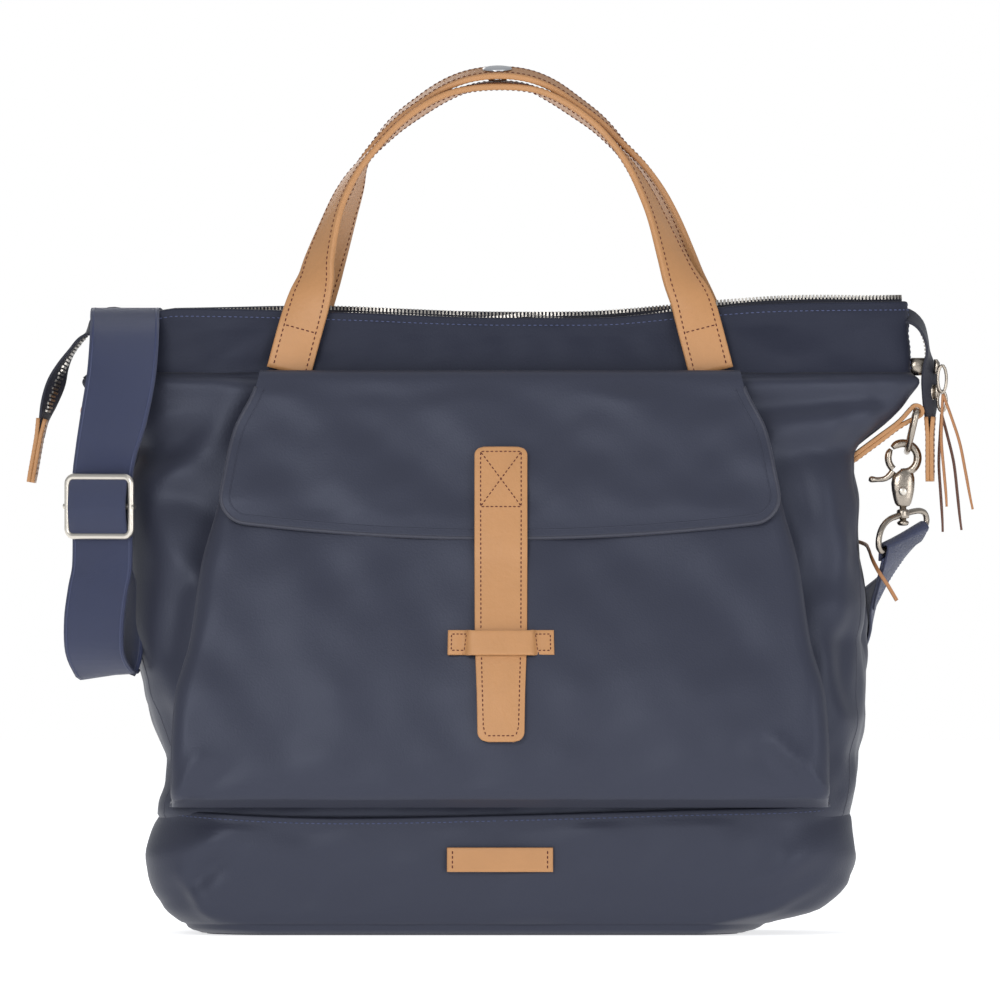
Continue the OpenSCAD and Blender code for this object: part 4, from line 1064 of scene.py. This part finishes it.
handle(-1)
rear_strip = handle(1)
mid = rear_strip.length() / 2 - 2.5
up_face = 1 if rear_strip.at([mid], [0])[1][0][2] > 0 else -1
C, N = rear_strip.at([mid], [0], -0.1, up_face)
build("snap_cap_dome", [lathe(numbers("8 0, 8.1 0.3, 7.7 0.7, 6.4 1, 4.4 1.2, 2.2 1.3, 0.4 1.3"), C[0], N[0], 40)],
      CHROME, "rear_handle", replaces=("handle_snap_cap",))
C, N = rear_strip.at([mid], [0], 0.0, -up_face)
build("snap_stud_disc", [lathe([(5.0, -0.4), (5.4, 0.0), (5.4, 1.6), (5.0, 2.0)], C[0], N[0], 32)],
      CHROME, "front_handle", replaces=("handle_snap_stud",))


# ---------------------------------------------------------------- side hardware
PIN = {1: np.array([229, 0, 286.5]), -1: np.array([226, 0, 286.5])}


def ring_tab(k):
    """Leather strap rolled round the D-ring's bar and sewn back on itself."""
    name = "right" if k > 0 else "left"
    pts = [(x + 0.66, z - 0.88) for x, z in ((188, 256.0), (200, 264.8), (210, 272.2), (PIN[k][0] - 9, 279.6))]
    roll = 3.15 if k > 0 else 3.5
    for a in (-48, -12, 24, 60, 96, 126):
        pts.append((PIN[k][0] + roll * math.cos(math.radians(a)), PIN[k][2] + roll * math.sin(math.radians(a))))
    for x, z in ((PIN[k][0] - 9, 279.8), (210, 272.3), (200, 264.9), (189, 256.9)):
        pts.append((x - 0.66, z + 0.88))
    strip = Strip([(k * x, 0, z, 0, 1, 0) for x, z in pts], 26, 2.3, gap=1.0)
    strip.mesh(name + "_ring_tab_leather", LEATHER, "bag", bev=0.5, replaces=(name + "_ring_tab",))
    runs = []
    for a in (-9.6, 9.6):
        for f in (1, -1):
            q, n = strip.at(np.linspace(4, 44, 60), a, LIFT, f)
            if n[5][2] < 0:
                runs.append((q, n))
    stitches(name + "_ring_tab_stitching", runs, "bag", THREAD_BROWN, 3.0, 2.1, 0.34)


def hardware(k):
    """D-ring, swivel hook with its trigger, and the slanted bail."""
    name = "right" if k > 0 else "left"
    at = np.array([221.6, 0, 260.7])
    lean = math.radians(13 if k > 0 else 5.5)

    def hung(y, drop):
        return PIN[k] + np.array([-drop * math.sin(lean), y, -drop * math.cos(lean)])

    loop = [hung(y, 0) for y in (0, 6, 12)] + [hung(15.5 - 1.4, 0.3), hung(15.5, 1.8), hung(15.5, 5), hung(15.5, 7.5)]
    loop += [hung(15.5 * math.cos(a), 7.5 + 15.5 * math.sin(a)) for a in np.linspace(0, math.pi, 15)[1:]]
    loop += [hung(-15.5, 5), hung(-15.5, 1.8), hung(-15.5 + 1.4, 0.3)] + [hung(y, 0) for y in (-12, -6, 0)]
    build(name + "_ring_wire", [tube(loop, 1.75, gap=1.4)], GUNMETAL, name + "_ring", k,
          replaces=(name + "_d_ring",))

    def arc(a0, a1, n):
        return [at + 8.1 * np.array([math.cos(math.radians(a)), 0, math.sin(math.radians(a))])
                for a in np.linspace(a0, a1, n)]

    eye = tube(arc(-100, 137, 30), [2.3] * 27 + [2.1, 1.8, 1.4], smooth=False, sides=16)
    trunk = numbers("""1.0 -5.6 1.2 1.0, 1.2 -6.6 3.0 2.0, 0.8 -8.4 5.0 2.6, 0.2 -11 6.2 3.1, 0 -14 6.5 3.3,
        0 -18 6.2 3.3, 0 -22 5.4 3.1, 0 -24.8 4.6 2.8, 0 -26.2 3.6 2.4, 0 -26.8 2.2 1.6""")
    trunk = block([(at[0] + x, 0, at[2] + z, hx, hy) for x, z, hx, hy in trunk], 24, 0.75)
    neck = lathe([(1.0, -37.3), (2.6, -37.0), (3.3, -36.0), (3.3, -35.2), (2.7, -34.6), (1.9, -34.4), (1.9, -26)], at)
    build(name + "_hook_casting", [eye, trunk, neck], GUNMETAL, name + "_hook", k,
          replaces=(name + "_hook_body",))
    head = numbers("2.5 2.9, 2.5 3.5, 2.1 3.95, 1.2 4.25, 0.2 4.35")
    heads = [lathe(head, at + [0, 0, -18.2], (0, y, 0)) for y in (-1, 1)]
    build(name + "_hook_rivet_heads", heads, NICKEL, name + "_hook", k, replaces=(name + "_hook_rivet",))
    gate = tube(arc(143, 229, 14), [1.1, 1.5, 1.8] + [2.0] * 11, smooth=False, sides=16)
    lever = at + numbers("-5.4 0 -7, -7.4 0 -9.6, -10 0 -11.4, -14 0 -11.9, -17.5 0 -11.7, -18.8 0 -11.5")
    lever = tube(lever, [1.9, 1.9, 1.6, 1.4, 1.8, 1.0], gap=0.6)
    build(name + "_trigger_casting", [gate, lever], GUNMETAL, name + "_trigger", k,
          replaces=(name + "_hook_trigger",))
    turn = math.radians(50 if k > 0 else -105)
    wire = numbers("""2.6 0 -30.6, 8 0 -29.6, 15 0 -29.2, 19 0 -30.6, 20.6 0 -34, 19.6 0 -37.2, 15 0 -39.4,
        0 0 -45, -14 0 -50.2, -18.6 0 -51, -21 0 -48.6, -20.6 0 -43, -17.6 0 -37.6, -12 0 -33.8, -2.8 0 -31.4""")
    wire = at + np.column_stack([wire[:, 0] * math.cos(turn), wire[:, 0] * math.sin(turn), wire[:, 2]])
    sleeve = lathe([(2.6, -33.2), (3.4, -32.8), (3.5, -31.5), (3.5, -29.8), (3.4, -28.6), (2.6, -28.2)], at)
    build(name + "_bail_wire", [tube(wire, 1.7), sleeve], GUNMETAL, "bag", k, replaces=(name + "_hook_bail",))


for k in (1, -1):
    ring_tab(k)
    hardware(k)


def zip_slider(name, z, link, y, reach):
    """Slider behind the right tail, with an oval wire link that carries the thong."""
    body = block([(236.3 - reach + x, 2.6, z + h, hx + reach / 2, hy) for x, h, hx, hy in (
        (0.2, -5.0, 1.0, 1.2), (0.2, -4.2, 2.2, 2.4), (0, -2, 2.9, 3.0), (0, 1.5, 3.0, 3.2), (0.2, 4.0, 2.2, 2.4),
        (0.2, 4.8, 1.2, 1.4))], 20, 0.8)
    nose = block([(239.4, 2, z - 4, 1.0, 1.6), (240.2, 1, z - 2, 1.6, 2.0), (240.4, 1, z + 2, 1.6, 2.0),
                  (239.6, 2, z + 4, 1.0, 1.6)], 16, 0.9)
    build(name + "_zip_slider_metal", [body, nose], GUNMETAL, name + "_slider",
          replaces=(name + "_zip_slider",))
    a = np.linspace(0, math.tau, 21)
    oval = np.column_stack([243.1 + 2.4 * np.sin(a), y + 0.6 * np.sin(a), z - link / 2 + (link / 2 + 0.6) * np.cos(a)])
    build(name + "_zip_link_wire", [tube(oval, 0.9, gap=0.6, smooth=False, sides=8)], GUNMETAL, name + "_pull",
          replaces=(name + "_zip_link",))


zip_slider("upper", 311, 13.6, -1.4, 6.0)
zip_slider("lower", 297, 10, 1.4, 0.0)
dress(("strap_slider_frame", "strap_slider_bar"), NICKEL)
dress(("rear_pocket_zip_slider",), GUNMETAL, bevel=0.4)
dress(("rear_pocket_pouch",), LINING)


def thong(name, fold_at, tips, y, mat, body_name, node):
    """Two leather tails hanging from one fold."""
    for tip, end in zip(tips, "ab"):
        f, e = np.array(fold_at, float), np.array(tip, float)
        out = 1 if e[0] > f[0] + 5 else -1
        pts = []
        for u, bend in ((0, 0), (0.2, -0.8), (0.45, -1.4), (0.7, -0.2), (0.9, 0.9), (1, 1.2)):
            p = f + (e - f) * u
            pts.append((p[0] - out * 0.9 * bend, y, p[2] + (2.0 * math.sin(u * math.pi)), 0.35, 1, 0))
        Strip(pts, lambda s: 2.4 - 1.2 * np.clip((s - 50) / 12, 0, 1), 1.2, gap=1.5).mesh(
            name + "_" + end, mat, body_name, bev=0.35, replaces=(node,) if end == "a" else ())


thong("upper_thong", (243.5, 0, 296.0), [(244.5, 0, 234), (261, 0, 232.5)], -5.6, THONG, "upper_pull",
      "upper_zip_thong")
# the lower thong takes the darker leather, painted shade
thong("lower_thong", (242.9, 0, 285.0), [(242.5, 0, 220), (255, 0, 221)], 4.4, THONG_SHADED, "lower_pull",
      "lower_zip_thong")

# ---------------------------------------------------------------- shoulder strap
# from the right bail behind the bag and over the yoke's left end to the left bail: x y z, then the width's direction
ROUTE = numbers("""221.5 1 212 0.59 0.71 0.37, 217 10 203 0.47 0.74 0.46, 211 24 191 0.32 0.72 0.58,
    205.5 42 178 0.08 0.6 0.75, 195 62 165 -0.15 0.45 0.85, 176 76 150 -0.42 0.22 0.82, 152 84 136 -0.45 0 0.9,
    124 88 126 -0.25 -0.1 0.96, 94 89 121 -0.1 -0.15 0.98, 62 88.5 121 0.05 -0.15 0.98, 30 86 127 0.2 -0.18 0.96,
    0 83 138 0.35 -0.2 0.91, -28 79 154 0.48 -0.2 0.85, -54 74 174 0.58 -0.2 0.78, -78 69 197 0.66 -0.2 0.7,
    -100 63.5 221 0.72 -0.2 0.65, -122 58 246 0.76 -0.18 0.6, -144 53 271 0.8 -0.15 0.56,
    -166 48 295 0.86 -0.1 0.48, -186 42 316 0.93 0 0.34, -199 33.5 332 0.98 0.05 0.18, -204 20 340.6 1 0 0,
    -205.5 0 342.6 1 0 0, -206 -20 340.6 1 0 0, -206 -33 332.5 1 0 0, -206.5 -39.5 320 1 -0.02 0,
    -208 -44 304 0.99 -0.1 0, -212 -48 282 0.95 -0.25 0, -216 -50 264 0.88 -0.45 0, -218 -50 248 0.86 -0.5 0,
    -218 -50 203 0.86 -0.5 0, -220.5 -51 188 0.86 -0.5 0, -222.5 -51 171 0.86 -0.5 0, -222 -48 154 0.84 -0.54 0.05,
    -217 -40 143.5 0.8 -0.6 0.1, -212.5 -31 143 0.7 -0.7 0.1, -208 -30 152 0.6 -0.8 0, -207.5 -28 170 0.62 -0.79 0,
    -210 -22 189 0.6 -0.79 0.1, -215 -10 201 0.4 -0.87 0.25, -220 -2 210 0.24 -0.91 0.35""")
WEBBING_WIDTH = 38
strap = Strip(ROUTE, WEBBING_WIDTH, 1.5, gap=3.0)
strap_ob = strap.mesh("shoulder_webbing", WEBBING, "bag", bev=0.3, replaces=("shoulder_strap",))
runs = [strap.at(np.linspace(3, strap.length() - 3, 900), a, -0.55, f) for f in (1, -1) for a in (-17.2, 17.2)]
cord_mesh("webbing_selvedge", runs, 0.75, WEBBING, "bag", sides=6)
pick = np.linspace(0, strap.length(), 39)
path = strap.at(pick, 0 * pick, -0.75)[0] * MM

# webbing woven over the slider's bar
slider_at, slider_turn = np.array([-219.6, -53.6, 234.5]), math.radians(-30)
c, s = math.cos(slider_turn), math.sin(slider_turn)
pts = []
for z in (17.2, 14, 10, 6, 2, -2, -6, -10, -14, -17.2):
    y = -2.9 * math.cos(z / 15.5 * math.pi / 2)
    pts.append(tuple(slider_at + [-s * y, c * y, z]) + (c, s, 0))
Strip(pts, 36.4, 1.4, gap=1.2).mesh("slider_weave", WEBBING, "strap_slider", bev=0.3,
                                    replaces=("strap_slider_weave",))


def bail_loop(k, bar, wide):
    """The webbing's end goes on over the bail's slanted bar and is sewn back along itself."""
    bar, wide = np.array(bar, float), unit(wide)
    L = strap.length()
    face = []
    for s in (34, 26, 18, 10, 4):
        t = s if k > 0 else L - s
        p, n = strap.at([t], [0], 0.75)
        u = [np.interp(t, strap.S, strap.U[:, i]) for i in range(3)]
        face.append((p[0], unit(u), n[0]))
    first = face[-1]
    away = unit(first[0] - bar)
    turned = wide if np.dot(wide, first[1]) > 0 else -wide
    n = unit(np.cross(away, turned))
    n = n if np.dot(n, first[2]) > 0 else -n
    pts = [tuple(p) + tuple(u) for p, u, _ in face]
    for a in (75, 35, 0, -35, -75):
        r = math.radians(a)
        pts.append(tuple(bar - away * 2.6 * math.cos(r) + n * 2.6 * math.sin(r)) + tuple(turned))
    t = 6 if k > 0 else L - 6
    pts.append(tuple(strap.at([t], [0], 0.3, -1)[0][0]) + tuple(first[1]))
    st = Strip(pts, 37.4, 1.3, gap=1.2)
    name = "right" if k > 0 else "left"
    st.mesh(name + "_webbing_loop", WEBBING, "bag", bev=0.3)
    runs = [st.at(q, np.linspace(-16.5, 16.5, 30), LIFT, f) for q in (6, 10) for f in (1, -1)]
    stitches(name + "_loop_stitching", runs, "bag", THREAD_NAVY, 2.8, 2.0, 0.32)


bail_loop(1, (221.9, 0.4, 216.6), (0.6, 0.72, 0.34))
bail_loop(-1, (-221.9, -0.4, 216.6), (0.243, -0.908, 0.34))

# ---------------------------------------------------------------- rear zip pocket
slope = math.radians(11.4)
RZ = 222.0
rear0 = np.array([0, float(half_d(RZ)), RZ])
rn = np.array([0, math.cos(slope), math.sin(slope)])
ru = np.array([0, -math.sin(slope), math.cos(slope)])


def on_rear(x, up, off):
    """Point x along the rear zip, up its slope and off the cloth."""
    return rear0 + np.array([x, 0, 0]) + ru * up + rn * off


for part, up in (("upper", 8.2), ("lower", -8.2)):
    Strip([tuple(on_rear(x, up, 2.3)) + tuple(ru) for x in np.linspace(-100, 164, 14)], 7.4, 1.6, gap=4).mesh(
        "rear_welt_" + part, NYLON, "bag", bev=0.6)
rt = Strip([tuple(on_rear(x, 0, 1.5)) + tuple(ru) for x in np.linspace(-96, 160, 14)], 14, 0.8, gap=4)
rt.mesh("rear_zip_tape_cloth", TAPE, "bag", bev=0.2, replaces=("rear_pocket_zip_tape",))
rs = 1 if rt.N[5][1] > 0 else -1
chain("rear_zip_chain", rt, 3, rt.length() - 14, rs, width=2.0, replaces=("rear_pocket_zip_teeth",))
runs = []
for up in (5.6, 10.8, -5.6, -10.8):
    p = np.array([on_rear(x, up, 3.15) for x in np.linspace(-97, 161, 100)])
    runs.append((p, np.tile(rn, (100, 1))))
stitches("rear_zip_stitching", runs, "bag", THREAD_NAVY, 3.0, 2.1, 0.3)
thong_route = numbers("""162 60 217 0.1 0.2 1, 172 57.5 216.5 0.1 0.2 1, 184 52 216 0.1 0.2 1,
    194 41 215 0.1 0.2 1, 201 27 213 0.1 0.2 1, 203 8 210 0.1 0.2 1, 204.5 -6 205.5 0.1 0.2 1,
    208 -13 198.5 0.1 0.2 1, 213 -15 191 0.1 0.2 1, 218 -14 182.5 0.1 0.2 1""")
rear_thong = Strip(thong_route, 2.1, 1.2, gap=1.5).mesh(
    "rear_thong_leather", THONG, "rear_slider", bev=0.35, replaces=("rear_pocket_zip_thong",))
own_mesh(rear_thong)

# ---------------------------------------------------------------- stage, light and camera
scene = bpy.context.scene
scene.view_settings.view_transform = "Standard"
world = bpy.data.worlds.new("studio")
scene.world = world
world.use_nodes = True
nt = world.node_tree
# white behind the bag, and a softer, cooler light on it from all round
bg = put(nt.nodes["Background"], Color=(1, 1, 1, 1), Strength=1.0)
soft = put(nt.nodes.new("ShaderNodeBackground"), Color=(0.93, 0.96, 1.0, 1), Strength=0.5)
rays = nt.nodes.new("ShaderNodeLightPath")
mix = nt.nodes.new("ShaderNodeMixShader")
nt.links.new(rays.outputs["Is Camera Ray"], mix.inputs["Fac"])
nt.links.new(soft.outputs["Background"], mix.inputs[1])
nt.links.new(bg.outputs["Background"], mix.inputs[2])
nt.links.new(mix.outputs["Shader"], nt.nodes["World Output"].inputs["Surface"])


def area(name, at, target, size, power):
    """Square lamp of size metres and power watts at a point, facing the target."""
    light = bpy.data.lights.new(name, "AREA")
    light.energy = power
    light.shape = "RECTANGLE"
    light.size = light.size_y = size
    ob = bpy.data.objects.new(name, light)
    scene.collection.objects.link(ob)
    ob.location = at
    ob.rotation_euler = (Vector(target) - Vector(at)).to_track_quat("-Z", "Y").to_euler()


area("key", (-0.7, -1.9, 0.85), (0, 0, 0.25), 0.8, 15.2)
area("fill", (1.3, -1.7, 0.4), (0, 0, 0.2), 1.0, 11.2)
area("top", (0.1, 0.0, 1.8), (0, 0, 0.2), 1.0, 3)
area("back", (-0.6, 2.2, 0.9), (0, 0, 0.2), 0.8, 5)

# the floor lies half a millimetre under the bag, so that the two faces don't flicker
floor_mesh = bpy.data.meshes.new("floor")
floor_mesh.from_pydata([(x, y, -0.0005) for x, y in ((-6, -6), (6, -6), (6, 6), (-6, 6))], [], [(0, 1, 2, 3)])
floor = bpy.data.objects.new("floor", floor_mesh)
scene.collection.objects.link(floor)
pale = bpy.data.materials.new("pale_floor")
pale.use_nodes = True
put(pale.node_tree.nodes["Principled BSDF"], Base_Color=(0.9, 0.9, 0.9, 1), Roughness=0.9, Specular_IOR_Level=0.0,
    Emission_Color=(1, 1, 1, 1), Emission_Strength=0.72)
floor_mesh.materials.append(pale)

cam_data = bpy.data.cameras.new("camera")
cam = bpy.data.objects.new("camera", cam_data)
scene.collection.objects.link(cam)
scene.camera = cam
DIST = 15.0         # metres from the bag: the photograph shows next to no perspective
SEEN = 0.55         # metres across the picture at the bag
ELEV = math.radians(0.5)
TARGET = Vector((0, 0, 0.2376))
cam.location = TARGET + Vector((0, -math.cos(ELEV), math.sin(ELEV))) * DIST
cam.rotation_euler = (TARGET - cam.location).to_track_quat("-Z", "Y").to_euler()
cam_data.sensor_width = 36
cam_data.lens = 36 * DIST / SEEN
cam_data.clip_end = 100
cam_data.dof.use_dof = False
